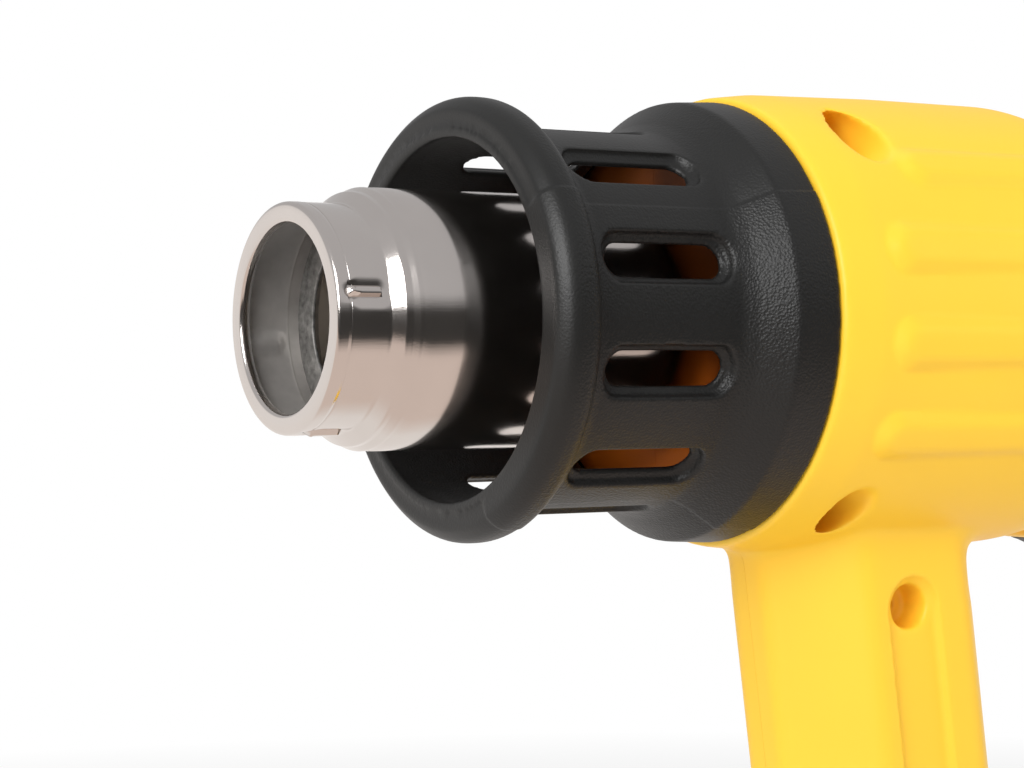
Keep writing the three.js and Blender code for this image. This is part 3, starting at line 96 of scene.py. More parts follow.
def reach_of(node, axis=0):
    """Where a CAD node starts and ends along an axis, in millimetres from the lip and the air axis."""
    low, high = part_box(node)
    return (low[axis] - ORIGIN[axis]) / MM, (high[axis] - ORIGIN[axis]) / MM


def middle_of(node):
    """The middle of a CAD node's box, in millimetres from the lip and the air axis."""
    low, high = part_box(node)
    return ((low + high) / 2 - ORIGIN) / MM


GUARD_START, GUARD_END = reach_of("nozzle_guard")
NOSE_START, BODY_END = reach_of("housing_left")
CAP_FLANGE_START, CAP_END = reach_of("rear_cap")
BASE_Z = reach_of("housing_left", 2)[0]
TUBE_END = reach_of("nozzle_tube")[1]
SLEEVE_END = reach_of("nozzle_sleeve")[1]
DIAL_START, DIAL_END = reach_of("temperature_dial")
SCREWS = {node: middle_of(node) for node in frame["nodes"] if node.startswith("housing_screw_")}
PIECE_GAP = 0.3
BODY_START = GUARD_END + PIECE_GAP
DISH_FACE = DIAL_START - 0.4
TUBE_HOLE_RADIUS = 19.9

# The handle's foot: where it starts to widen and how thick its floor is, both above the base,
# then its steps down to the base (height above it, growth all round) and the widest growth
FOOT_HEIGHT = 24
FOOT_FLOOR = 3.4
FOOT_STEPS = ((18, 0.25), (12, 1.1), (7, 2.1), (4, 2.4), (1.6, 2.3), (0.5, 1.8), (0, 1.1))
FOOT_GROWTH = 2.4


def length_property(name, millimetres, description):
    return FloatProperty(name=name, description=description, default=millimetres * MM, min=0.0, unit="LENGTH")


def angle_property(name, degrees, description):
    return FloatProperty(name=name, description=description, default=math.radians(degrees), subtype="ANGLE")


def colour_property(name, colour, description):
    return FloatVectorProperty(
        name=name, description=description, default=colour, size=3, min=0.0, max=1.0, subtype="COLOR")


class NozzleSizes(bpy.types.PropertyGroup):
    outlet_radius: length_property("Outlet radius", 17.0, "Outside radius of the outlet behind its lip")
    outlet_length: length_property("Outlet length", 8.5, "Length of the outlet in front of the shoulder")
    shoulder_length: length_property("Shoulder length", 3.8, "Length over which the tube widens in two steps")
    barrel_radius: length_property("Barrel radius", 19.5, "Outside radius of the tube inside the guard")
    wall: length_property("Wall", 0.8, "Thickness of the tube's steel")
    lip_width: length_property("Lip width", 3.05, "Width of the rolled lip's face")
    lip_length: length_property("Lip length", 1.8, "Depth of the rolled lip")
    flange_width: length_property("Flange width", 5.5, "Width of the flange behind the bulkhead")
    crimps: IntProperty(name="Crimps", description="Grooves pressed along the outlet", default=4, min=0)
    crimp_depth: length_property("Crimp depth", 0.6, "Depth of each crimp")
    crimp_width: length_property("Crimp width", 5.4, "Width of each crimp")
    crimp_turn: angle_property("Crimp turn", -12, "How far the crimps are turned off the upright")
    sleeve_mouth: length_property("Sleeve mouth", 12.3, "Radius of the opening in the inner sleeve's front")
    sleeve_setback: length_property("Sleeve setback", 11.0, "From the lip to the inner sleeve")


class GuardSizes(bpy.types.PropertyGroup):
    bead_radius: length_property("Bead radius", 33.7, "Outside radius of the front bead")
    bead_length: length_property("Bead length", 8.7, "Length of the front bead")
    cage_radius: length_property("Cage radius", 30.0, "Outside radius of the slotted cage")
    cage_wall: length_property("Cage wall", 2.6, "Thickness of the cage")
    cage_length: length_property("Cage length", 25.3, "Length of the cage")
    cone_length: length_property("Cone length", 6.9, "Length of the cone behind the cage")
    collar_radius: length_property("Collar radius", 35.4, "Outside radius of the collar")
    collar_wall: length_property("Collar wall", 3.2, "Thickness of the collar")
    slots: IntProperty(name="Slots", description="Slots round the cage", default=11, min=3)
    slot_width: length_property("Slot width", 5.4, "Width of each slot's opening")
    slot_length: length_property("Slot length", 20.6, "Length of each slot's opening")
    slot_setback: length_property("Slot setback", 2.8, "From the bead's end to the slots")
    slot_turn: angle_property("Slot turn", 0.8, "How far the slots are turned upwards from an even spread")
    slot_rim: length_property("Slot rim", 1.8, "Width of the sunk rim round each slot's opening")
    slot_rim_depth: length_property("Slot rim depth", 1.5, "Depth of that rim")
    parting_high: angle_property("Upper parting", 32.7, "Height of the upper mould line, round the air axis")
    parting_low: angle_property("Lower parting", -67.0, "Height of the lower mould line, round the air axis")
    parting_step: length_property("Parting step", 0.2, "Step in the surface at the mould lines")


class HousingSizes(bpy.types.PropertyGroup):
    radius: length_property("Radius", 37.3, "Outside radius of the body")
    wall: length_property("Wall", 2.5, "Thickness of the housing")
    nose_radius: length_property("Nose radius", 31.9, "Radius of the nose inside the guard")
    bulkhead: length_property("Bulkhead", 2.8, "Thickness of the nose's front wall")
    rim_radius: length_property("Rim radius", 35.9, "Radius of the rim behind the guard")
    tail_radius: length_property("Tail radius", 33.2, "Radius at the rear cap")
    tail_length: length_property("Tail length", 22.0, "Length over which the back end narrows")
    rib_width: length_property("Rib width", 7.4, "Width of each side rib")
    rib_height: length_property("Rib height", 0.95, "Height of each side rib")
    rib_length: length_property("Rib length", 42.0, "Length of each side rib")
    rib_setback: length_property("Rib setback", 9.2, "From the body's front to the ribs")
    top_rib_setback: length_property("Top rib setback", 17.2, "From the body's front to the top rib")
    ribs: IntProperty(name="Ribs", description="Ribs on each side", default=4, min=0)
    recess_radius: length_property("Recess radius", 4.4, "Radius of the screw recesses above the air axis")
    low_recess_radius: length_property(
        "Low recess radius", 3.6, "Radius of the screw recesses below the air axis")
    recess_floor: length_property("Recess floor", 9.0, "From the middle plane to the recess floors")
    pilot_radius: length_property("Pilot radius", 1.5, "Radius of the hole in each recess floor")
    seam: length_property("Seam", 0.05, "Gap between the two halves")


class HandleSizes(bpy.types.PropertyGroup):
    setback: length_property(
        "Setback", 7.8, "From the body's front to the handle's front at the body's underside")
    lean: angle_property("Lean", 7.3, "How far the handle leans back")
    depth: length_property("Depth", 38.4, "Depth of the handle from front to back")
    width: length_property("Width", 32.4, "Width of the handle")
    front_flat: length_property("Front flat", 9.0, "Width of the handle's front face")
    front_chamfer: length_property("Front chamfer", 12.0, "Length of the chamfers beside the front face")
    rear_chamfer: length_property("Rear chamfer", 5.5, "Length of the chamfers at the back")
    flare: length_property("Flare", 2.4, "How far the foot stands out")
    screw_setback: length_property("Screw setback", 21.2, "From the handle's front to its screws")
    channel_width: length_property("Channel width", 10.8, "Width of the groove along each side")
    channel_length: length_property("Channel length", 82.0, "Length of the groove along each side")
    channel_depth: length_property("Channel depth", 1.3, "Depth of the groove along each side")


class ControlSizes(bpy.types.PropertyGroup):
    dial_radius: length_property("Dial radius", 12.0, "Outside radius of the temperature dial")
    dial_grips: IntProperty(name="Dial grips", description="Finger grips round the dial", default=12, min=3)
    dial_grip_depth: length_property("Dial grip depth", 0.9, "Depth of the hollows between the grips")
    dial_settings: IntProperty(name="Dial settings", description="Numbers round the dial", default=6, min=1)
    number_height: length_property("Number height", 3.4, "Height of the numbers")
    switch_width: length_property("Switch width", 13.0, "Width of the switch's bezel")
    switch_height: length_property("Switch height", 24.0, "Height of the switch's bezel")
    switch_depth: length_property("Switch depth", 15.0, "Depth of the switch in the handle")
    bezel_lip: length_property("Bezel lip", 1.6, "How far the bezel stands past the switch's body")
    rocker_width: length_property("Rocker width", 8.8, "Width of the rocker")
    rocker_height: length_property("Rocker height", 16.4, "Height of the rocker")
    rocker_crown: length_property("Rocker crown", 1.4, "How far the rocker's ends stand out of the bezel")
    pivot_depth: length_property("Pivot depth", 3.4, "From the handle's back to the rocker's pin")
    gland_radius: length_property("Gland radius", 8.0, "Outside radius of the cord gland")
    gland_neck: length_property("Gland neck", 6.0, "Radius of the gland where it passes through the handle")
    gland_bore: length_property("Gland bore", 3.7, "Radius of the cord's way through the gland")
    screw_core: length_property("Screw core", 1.0, "Radius of a housing screw under its thread")
    screw_thread: length_property("Screw thread", 1.3, "Radius of a housing screw's thread")
    screw_pitch: length_property("Screw pitch", 1.2, "Pitch of a housing screw's thread")


class ToolColours(bpy.types.PropertyGroup):
    yellow: colour_property("Yellow", (0.98, 0.585, 0.036), "Housing plastic")
    black: colour_property("Black", (0.0085, 0.0085, 0.008), "Guard, cap and switch plastic")
    steel: colour_property("Steel", (0.67, 0.625, 0.595), "Polished outlet")
    rubber: colour_property("Rubber", (0.014, 0.014, 0.014), "Cord gland")
    rocker: colour_property("Rocker", (0.45, 0.02, 0.015), "Switch rocker")
    print_white: colour_property("Print", (0.82, 0.82, 0.8), "Numbers on the dial and marks on the switch")


GROUPS = {
    "nozzle_sizes": NozzleSizes,
    "guard_sizes": GuardSizes,
    "housing_sizes": HousingSizes,
    "handle_sizes": HandleSizes,
    "control_sizes": ControlSizes,
    "tool_colours": ToolColours,
}


# What every property group holds besides its sizes
NO_SIZES = ("rna_type", "name")


def sizes(context, group):
    """A group's values, with its lengths in millimetres."""
    held = getattr(context.scene, group)
    values = {}
    for prop in held.bl_rna.properties:
        if prop.identifier in NO_SIZES:
            continue
        value = getattr(held, prop.identifier)
        values[prop.identifier] = value / MM if prop.unit == "LENGTH" else value
    return SimpleNamespace(**values)


# Modelling helpers

def deselect_everything():
    if bpy.context.mode != "OBJECT":
        bpy.ops.object.mode_set(mode="OBJECT")
    bpy.ops.object.select_all(action="DESELECT")


def work_on(piece):
    deselect_everything()
    piece.select_set(True)
    bpy.context.view_layer.objects.active = piece
    return piece


def edit(piece):
    work_on(piece)
    bpy.ops.object.mode_set(mode="EDIT")


def choose(piece, test, kind="verts"):
    """In edit mode, selects the vertices, edges or faces whose middle passes the test, in metres."""
    modes = {"verts": "VERT", "edges": "EDGE", "faces": "FACE"}
    bpy.ops.mesh.select_mode(type=modes[kind])
    bpy.ops.mesh.select_all(action="DESELECT")
    mesh = bmesh.from_edit_mesh(piece.data)
    for element in getattr(mesh, kind):
        corners = [element] if kind == "verts" else element.verts
        middle = sum((v.co for v in corners), Vector()) / len(corners)
        if test(middle, element):
            element.select_set(True)
    mesh.select_flush_mode()
    bmesh.update_edit_mesh(piece.data)


def rounded(corners, steps=5):
    """The points of a closed profile. A corner's third number is the radius of its fillet."""
    points = []
    for i, (x, r, *fillet) in enumerate(corners):
        here = Vector((x, r))
        to_last = Vector(corners[i - 1][:2]) - here
        to_next = Vector(corners[(i + 1) % len(corners)][:2]) - here
        if not fillet:
            points.append(here)
            continue
        half = to_last.angle(to_next) / 2
        reach = min(fillet[0] / math.tan(half), 0.49 * to_last.length, 0.49 * to_next.length)
        last, following = to_last.normalized(), to_next.normalized()
        centre = here + (last + following).normalized() * (reach / math.cos(half))
        arm = here + last * reach - centre
        sweep = (math.pi - 2 * half) * (1 if arm.x * last.y - arm.y * last.x < 0 else -1)
        for step in range(steps + 1):
            points.append(centre + Matrix.Rotation(sweep * step / steps, 2) @ arm)
    return points


def divided(start, end, parts):
    """Points from start to end, without the end."""
    return [tuple(a + (b - a) * i / parts for a, b in zip(start, end)) for i in range(parts)]


def traced(points):
    """A vertex extruded along the points, left selected in edit mode."""
    deselect_everything()
    bpy.ops.mesh.primitive_circle_add(vertices=3, radius=MM, location=points[0])
    piece = bpy.context.object
    bpy.ops.object.mode_set(mode="EDIT")
    bpy.ops.mesh.merge(type="CENTER")
    for before, after in zip(points, points[1:]):
        bpy.ops.mesh.extrude_region_move(TRANSFORM_OT_translate={"value": after - before})
    bpy.ops.mesh.select_all(action="SELECT")
    return piece


def spun(name, profile, steps=192, axis="X", centre=(0, 0, 0)):
    """A closed ring or solid of revolution: the profile is traced and spun."""
    along = {"X": Vector((1, 0, 0)), "Y": Vector((0, 1, 0)), "Z": Vector((0, 0, 1))}[axis]
    out = Vector((0, 0, 1)) if axis != "Z" else Vector((1, 0, 0))
    middle = metres(*centre)
    points = [middle + (along * a + out * r) * MM for a, r in profile]
    if profile[0][1] > 0 or profile[-1][1] > 0:
        points.append(points[0])
    piece = traced(points)
    piece.name = name
    bpy.ops.mesh.spin(steps=steps, angle=2 * math.pi, center=middle, axis=along)
    clean_up(piece)
    return piece


def clean_up(piece):
    """Merges doubles and turns the faces outwards."""
    if bpy.context.mode == "OBJECT":
        edit(piece)
    bpy.ops.mesh.select_mode(type="VERT")
    bpy.ops.mesh.select_all(action="SELECT")
    bpy.ops.mesh.remove_doubles(threshold=0.002 * MM)
    bpy.ops.mesh.normals_make_consistent(inside=False)
    bpy.ops.object.mode_set(mode="OBJECT")
    bpy.ops.object.transform_apply()


def modifier(piece, kind, **settings):
    """Adds a modifier and applies it."""
    work_on(piece)
    made = piece.modifiers.new(kind.lower(), kind)
    for key, value in settings.items():
        setattr(made, key, value)
    bpy.ops.object.modifier_apply(modifier=made.name)


def combine(piece, tools, operation="DIFFERENCE", keep_tools=False):
    """Cuts the tools from the piece, or joins them to it."""
    for tool in tools:
        modifier(piece, "BOOLEAN", operation=operation, object=tool, solver="MANIFOLD")
        if not keep_tools:
            bpy.data.objects.remove(tool)
    return piece


def box(x, y, z):
    """A block between two ends on each axis, for cutting and joining."""
    low, high = metres(x[0], y[0], z[0]), metres(x[1], y[1], z[1])
    deselect_everything()
    bpy.ops.mesh.primitive_cube_add(size=1, location=(low + high) / 2, scale=high - low)
    bpy.ops.object.transform_apply()
    return bpy.context.object


def rod(axis, radius, start, end, centre=(0, 0, 0), sides=48):
    """A straight round tool along an axis, for cutting and joining."""
    profile = [(start, 0), (start, radius), (end, radius), (end, 0)]
    return spun("rod", profile, steps=sides, axis=axis, centre=centre)


def stadium(length, width, layers, sides=32):
    """A slot-shaped tool lying along x. Each layer is (height, growth of the outline all round)."""
    deselect_everything()
    bpy.ops.mesh.primitive_circle_add(vertices=sides, radius=width / 2 * MM, fill_type="NGON")
    tool = bpy.context.object
    bpy.ops.object.mode_set(mode="EDIT")
    straight = (length - width) / 2 * MM
    for end in (1, -1):
        choose(tool, lambda middle, _: middle.x * end > 1e-7)
        bpy.ops.transform.translate(value=(end * straight, 0, 0))
    bpy.ops.mesh.select_all(action="SELECT")
    height, growth = layers[0]
    bpy.ops.transform.translate(value=(0, 0, height * MM))
    bpy.ops.transform.resize(value=((length + 2 * growth) / length, (width + 2 * growth) / width, 1))
    for next_height, next_growth in layers[1:]:
        factors = [(side + 2 * next_growth) / (side + 2 * growth) for side in (length, width)]
        bpy.ops.mesh.extrude_region_move(
            TRANSFORM_OT_translate={"value": (0, 0, (next_height - height) * MM)})
        bpy.ops.transform.resize(value=(factors[0], factors[1], 1), center_override=(0, 0, next_height * MM))
        height, growth = next_height, next_growth
    clean_up(tool)
    return tool


def copy_of(piece, name=None):
    work_on(piece)
    bpy.ops.object.duplicate(linked=False)
    made = bpy.context.object
    if name:
        made.name = name
    return made


def move_by(piece, matrix):
    """Moves a piece and applies its place to its mesh."""
    work_on(piece)
    piece.matrix_world = matrix @ piece.matrix_world
    bpy.ops.object.transform_apply()
    return piece


def round_the_axis(tool, count, first_degrees=0.0):
    """Copies of a tool that stands over the air axis, spread evenly round it and joined."""
    copies = []
    for i in range(count):
        turn = Matrix.Rotation(math.radians(first_degrees + 360 * i / count), 4, "X")
        copies.append(move_by(copy_of(tool), Matrix.Translation(ORIGIN) @ turn))
    bpy.data.objects.remove(tool)
    return copies


def shift(x, y=0, z=0):
    """The matrix that moves a tool by so many millimetres."""
    return Matrix.Translation(Vector((x * MM, y * MM, z * MM)))


def joined(pieces):
    """One object that holds separate closed solids."""
    deselect_everything()
    for piece in pieces:
        piece.select_set(True)
    bpy.context.view_layer.objects.active = pieces[0]
    bpy.ops.object.join()
    return bpy.context.object


def by_weight(piece, weight_at, kind, **settings):
    """Applies a modifier as strongly as a rule says for each vertex's place, in millimetres."""
    group = piece.vertex_groups.new(name="weight")
    levels = {}
    for vertex in piece.data.vertices:
        weight = weight_at((vertex.co - ORIGIN) / MM)
        if weight > 0:
            levels.setdefault(round(min(weight, 1.0), 3), []).append(vertex.index)
    for weight, members in levels.items():
        group.add(members, weight, "REPLACE")
    modifier(piece, kind, vertex_group=group.name, **settings)
    piece.vertex_groups.clear()


def mould(piece, voxel, passes):
    """Turns a piece into an even mesh, and softens its edges as moulding does."""
    modifier(piece, "REMESH", mode="VOXEL", voxel_size=voxel * MM, use_smooth_shade=True)
    modifier(piece, "SMOOTH", factor=0.5, iterations=passes)


def thin(piece, most):
    """Thins a dense mesh where it is nearly flat, down to a number of triangles."""
    triangles = sum(len(face.vertices) - 2 for face in piece.data.polygons)
    if triangles > most:
        modifier(piece, "DECIMATE", ratio=most / triangles)


def ease(value, start, end):
    """0 before start, 1 after end, and smooth between them."""
    share = min(max((value - start) / (end - start), 0.0), 1.0)
    return share * share * (3 - 2 * share)


def coat(piece, finish, edge_angle):
    """Shades a piece smooth up to an angle and gives it its material."""
    work_on(piece)
    bpy.ops.object.transform_apply()
    bpy.ops.object.shade_smooth_by_angle(angle=math.radians(edge_angle))
    piece.data.materials.clear()
    piece.data.materials.append(finish)


def finish_piece(piece, nodes, finish, edge_angle=32.0):
    """Coats a finished piece and puts it in its nodes' place."""
    coat(piece, finish, edge_angle)
    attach(piece, frame["nodes"][nodes[0]]["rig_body"])
    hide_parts(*nodes)


def finish_mark(piece, body, finish):
    """Coats a printed or inlaid mark and makes it ride on a body."""
    coat(piece, finish, 30)
    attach(piece, body)


# Materials

# Sockets of the colour mix node: its two colours and its result
FIRST_COLOUR, SECOND_COLOUR, MIXED_COLOUR = 6, 7, 2


def fill(tree, node, inputs):
    """Links or sets a node's inputs."""
    for key, value in inputs.items():
        if isinstance(value, bpy.types.NodeSocket):
            tree.links.new(value, node.inputs[key])
        else:
            node.inputs[key].default_value = value


def shader_node(tree, kind, inputs=None, **settings):
    """Adds a node, sets its settings, and links or sets its inputs."""
    made = tree.nodes.new("ShaderNode" + kind)
    for key, value in settings.items():
        setattr(made, key, value)
    fill(tree, made, inputs or {})
    return made


def maths(tree, operation, first, second):
    return shader_node(tree, "Math", {0: first, 1: second}, operation=operation).outputs[0]


def parts_of(tree, vector):
    return shader_node(tree, "SeparateXYZ", {"Vector": vector}).outputs


def length_of(tree, vector):
    return shader_node(tree, "VectorMath", {0: vector}, operation="LENGTH").outputs["Value"]


def noise(tree, where, per_mm, detail=2.0, roughness=0.5):
    """Noise whose features repeat about so many times in a millimetre."""
    inputs = {"Vector": where, "Scale": per_mm / MM, "Detail": detail, "Roughness": roughness}
    return shader_node(tree, "TexNoise", inputs).outputs["Fac"]


def ranged(tree, value, low=0.0, high=1.0, start=0.0, end=1.0):
    """A number that goes from low to high while the value goes from start to end, and no further."""
    inputs = {"Value": value, "From Min": start, "From Max": end, "To Min": low, "To Max": high}
    return shader_node(tree, "MapRange", inputs).outputs[0]


def mix(tree, share, first, second):
    """A blend of two colours, each a link or three channels."""
    colours = [colour if isinstance(colour, bpy.types.NodeSocket) else (*colour, 1.0)
               for colour in (first, second)]
    inputs = {"Factor": share, FIRST_COLOUR: colours[0], SECOND_COLOUR: colours[1]}
    return shader_node(tree, "Mix", inputs, data_type="RGBA").outputs[MIXED_COLOUR]


def bumped(tree, height, depth, below=None):
    """A normal from a 0 to 1 height, with its depth in millimetres."""
    inputs = {"Height": height, "Distance": depth * MM, "Strength": 1.0}
    if below is not None:
        inputs["Normal"] = below
    return shader_node(tree, "Bump", inputs).outputs["Normal"]


def new_finish(name):
    """An empty material, its node tree, its surface shader and the piece's own coordinates."""
    made = bpy.data.materials.new(name)
    made.use_nodes = True
    tree = made.node_tree
    return made, tree, tree.nodes["Principled BSDF"], shader_node(tree, "TexCoord").outputs["Object"]


def tinted(colour, factor):
    return tuple(channel * factor for channel in colour)


def drifting(tree, drift, colour, low, high):
    """A colour that a 0 to 1 drift takes from one tint to another."""
    return mix(tree, drift, tinted(colour, low), tinted(colour, high))


def plain_finish(name, colour, roughness, metallic=0.0, grain=1.2, depth=0.02, variation=0.12):
    """A moulded, cast or drawn surface: fine grain, and a little drift in colour and gloss."""
    made, tree, shader, where = new_finish(name)
    drift = noise(tree, where, 0.08, detail=4.0)
    fill(tree, shader, {
        "Base Color": drifting(tree, drift, colour, 1 - variation, 1 + variation / 2),
        "Roughness": ranged(tree, drift, roughness - 0.05, roughness + 0.05),
        "Normal": bumped(tree, noise(tree, where, grain), depth),
        "Metallic": metallic,
    })
    return made


def yellow_plastic(context):
    """Satin yellow, with painted shade on the nose inside the guard: deep orange below the air axis, dark
    brown above it.
    """
    made, tree, shader, where = new_finish("satin_yellow_plastic")
    drift = noise(tree, where, 0.05, detail=3.0)
    grain = noise(tree, where, 2.2)
    yellow = drifting(tree, drift, context.scene.tool_colours.yellow, 0.97, 1.02)
    parts = parts_of(tree, where)
    low = AXIS_Z - 0.6 * context.scene.housing_sizes.nose_radius
    upwards = ranged(tree, parts["Z"], start=low, end=AXIS_Z)
    # Painted shade on the nose inside the guard: deep orange low down, dark brown from the air axis up
    painted_nose_shade = mix(tree, upwards, (0.75, 0.17, 0.006), (0.24, 0.06, 0.006))
    front = metres(BODY_START).x
    on_nose = ranged(tree, parts["X"], start=front, end=front - 0.6 * MM)
    fill(tree, shader, {
        "Base Color": mix(tree, on_nose, yellow, painted_nose_shade),
        "Roughness": ranged(tree, grain, 0.4, 0.5),
        "Normal": bumped(tree, grain, 0.006),
        "Specular IOR Level": 0.4,
    })
    return made


def round_angle(tree, where):
    """The angle round the air axis, in radians, 0 towards -y and rising upwards on that side."""
    parts = parts_of(tree, where)
    across = maths(tree, "MULTIPLY", parts["Y"], -1.0)
    above = maths(tree, "ADD", parts["Z"], -AXIS_Z)
    return maths(tree, "ARCTAN2", above, across)


def grained_black(context, parted=False):
    """Leathery black plastic. On the guard its grain is fainter on the front face, and half as deep
    above the upper mould line."""
    made, tree, shader, where = new_finish("guard_black_plastic" if parted else "grained_black_plastic")
    inputs = {"Vector": where, "Scale": 2.5 / MM, "Smoothness": 0.4}
    cells = shader_node(tree, "TexVoronoi", inputs, feature="SMOOTH_F1").outputs["Distance"]
    height = maths(tree, "ADD", cells, ranged(tree, noise(tree, where, 2.6), 0.0, 0.6))
    if parted:
        upper_line = context.scene.guard_sizes.parting_high
        above = maths(tree, "GREATER_THAN", round_angle(tree, where), upper_line)
        front = metres(GUARD_START).x
        along = parts_of(tree, where)["X"]
        off_face = ranged(tree, along, 0.3, 1.0, start=front + 2.6 * MM, end=front + 3.4 * MM)
        height = maths(tree, "MULTIPLY", height, ranged(tree, above, 1.0, 0.5))
        height = maths(tree, "MULTIPLY", height, off_face)
    drift = noise(tree, where, 0.06, detail=3.0)
    fill(tree, shader, {
        "Base Color": drifting(tree, drift, context.scene.tool_colours.black, 0.85, 1.15),
        "Roughness": ranged(tree, drift, 0.4, 0.5),
        "Normal": bumped(tree, height, 0.075),
        "Specular IOR Level": 0.42,
    })
    return made


def mouth_of(tree, where, outlet_radius):
    """1 on the inner wall behind the lip, and 0 on the outside."""
    parts = parts_of(tree, where)
    above = maths(tree, "ADD", parts["Z"], -AXIS_Z)
    outwards = shader_node(tree, "CombineXYZ", {"X": parts["Y"], "Y": above}).outputs[0]
    within = maths(tree, "LESS_THAN", length_of(tree, outwards), outlet_radius - 0.4 * MM)
    back = metres(1.1).x
    return maths(tree, "MULTIPLY", within, ranged(tree, parts["X"], start=back, end=back + 0.5 * MM))


def polished_steel(context):
    """Drawn and polished steel with faint lines along the tube, and duller grey inside the mouth."""
    made, tree, shader, where = new_finish("polished_steel")
    stretched = shader_node(tree, "Mapping", {"Vector": where, "Scale": (0.08, 1.0, 1.0)}).outputs[0]
    lines = noise(tree, stretched, 3.0, detail=3.0)
    waves = bumped(tree, noise(tree, where, 0.2, detail=1.0), 0.03)
    drift = noise(tree, where, 0.12, detail=3.0)
    dull = mouth_of(tree, where, context.scene.nozzle_sizes.outlet_radius)
    bright = drifting(tree, drift, context.scene.tool_colours.steel, 0.94, 1.04)
    inside = mix(tree, noise(tree, where, 0.4, detail=4.0), (0.42, 0.4, 0.38), (0.6, 0.57, 0.545))
    fill(tree, shader, {
        "Base Color": mix(tree, dull, bright, inside),
        "Roughness": maths(tree, "ADD", ranged(tree, drift, 0.11, 0.18), ranged(tree, dull, 0.0, 0.16)),
        "Normal": bumped(tree, lines, 0.004, below=waves),
        "Metallic": ranged(tree, dull, 1.0, 0.6),
    })
    return made


def scaled_steel(context):
    """The inner sleeve: heat darkened and mottled on its front ring, and paler inside."""
    made, tree, shader, where = new_finish("scaled_inner_steel")
    spots = ranged(tree, noise(tree, where, 0.9, detail=5.0, roughness=0.65), start=0.3, end=0.7)
    ring = metres(context.scene.nozzle_sizes.sleeve_setback / MM + 0.9).x
    inside = ranged(tree, parts_of(tree, where)["X"], start=ring, end=ring + 0.4 * MM)
    dark = mix(tree, spots, (0.09, 0.087, 0.082), (0.28, 0.27, 0.255))
    pale = mix(tree, spots, (0.42, 0.37, 0.34), (0.6, 0.54, 0.5))
    fill(tree, shader, {
        "Base Color": mix(tree, inside, dark, pale),
        "Roughness": ranged(tree, spots, 0.3, 0.5),
        "Normal": bumped(tree, spots, 0.015),
        "Metallic": 0.4,
    })
    return made


# Outlet tube and sleeve

def nozzle_tube(n):
    """Outlet tube: rolled lip, outlet, stepped shoulder, barrel and rear flange."""
    mouth = n.outlet_radius - n.lip_width
    bore = n.outlet_radius - n.wall
    barrel_bore = n.barrel_radius - n.wall
    rise = n.barrel_radius - n.outlet_radius
    flange = n.barrel_radius + n.flange_width
    neck = n.lip_length + 0.5

    def on_shoulder(share, height):
        return n.outlet_length + n.shoulder_length * share, n.outlet_radius + rise * height

    lip = rounded([
        (neck, bore), (n.lip_length, bore, 0.2), (n.lip_length, mouth, 0.4), (0, mouth, 0.6),
        (0, n.outlet_radius, 0.7), (n.lip_length, n.outlet_radius + 0.06, 0.5),
        (neck, n.outlet_radius - 0.05)])
    shoulder = rounded([
        (neck, n.outlet_radius), (*on_shoulder(0, 0), 0.8), (*on_shoulder(0.44, 0.72), 0.7),
        (*on_shoulder(0.68, 0.74), 0.7), (*on_shoulder(0.97, 1), 1.2), (TUBE_END, n.barrel_radius),
        (TUBE_END, barrel_bore), (*on_shoulder(1.05, 1 - n.wall / rise), 1.0),
        (n.outlet_length + 0.7, bore, 1.0), (neck, bore)], steps=7)
    bends = [point for point in shoulder[1:-1] if point.x < TUBE_END - 1]
    outside = [point for point in bends if point.y > n.outlet_radius - 0.01]
    inside = [point for point in bends if point.y < barrel_bore + 0.01 and point not in outside]
    flange_start = (TUBE_END - 1.0, n.barrel_radius)
    profile = lip + divided((neck + 0.05, n.outlet_radius), outside[0], 22) + outside
    profile += divided((n.outlet_length + n.shoulder_length + 1.5, n.barrel_radius), flange_start, 10)
    profile += [flange_start, (TUBE_END - 1.0, flange), (TUBE_END, flange), (TUBE_END, barrel_bore)]
    profile += inside + divided(inside[-1], (neck, bore), 22)[1:]
    piece = spun("steel_outlet_tube", profile, steps=384)
    press_crimps(piece, n, bore)
    return piece


def press_crimps(piece, n, bore):
    """Presses the crimps into the outside, and lets the inside follow."""
    middle_radius = (n.outlet_radius + bore) / 2

    def depth_at(place, outside):
        radius = math.hypot(place.y, place.z)
        if place.x < 0.7 or place.x > n.outlet_length + 0.6:
            return 0.0
        if (radius > middle_radius) != outside or radius < bore - 0.1:
            return 0.0
        pitch = 2 * math.pi / n.crimps
        angle = math.atan2(place.z, place.y) - n.crimp_turn
        off = abs((angle + pitch / 2) % pitch - pitch / 2) * n.outlet_radius
        pinched = 1 - ease(place.x, n.lip_length, n.lip_length + 2.0)
        across = 1 - ease(off, 0.0, n.crimp_width * (0.5 - 0.18 * pinched))
        along = ease(place.x, 0.6, n.lip_length + 0.8) * (0.8 + 0.2 * pinched)
        return across * along * (1 - ease(place.x, n.outlet_length - 1.8, n.outlet_length + 0.6))

    for outside, push in ((True, -1.0), (False, 1.9)):
        by_weight(piece, lambda place: depth_at(place, outside), "DISPLACE",
                  strength=push * n.crimp_depth * MM, mid_level=0.0)


def nozzle_sleeve(n):
    """Sleeve in the mouth: a thin tube with a rolled front edge turned in to a ring."""
    outer = reach_of("nozzle_sleeve", 2)[1]
    wall = 0.6
    front = n.sleeve_setback
    profile = rounded([
        (front + 0.3, n.sleeve_mouth, 0.25), (front + 0.1, outer - 1.6, 0.4),
        (front - 0.25, outer - 0.9, 0.5), (front, outer, 0.6), (SLEEVE_END, outer, 0.1),
        (SLEEVE_END, outer - wall, 0.1), (front + wall + 0.3, outer - wall, 0.3),
        (front + wall + 0.3, n.sleeve_mouth, 0.25)])
    return spun("outlet_sleeve", profile, steps=160)


# Guard

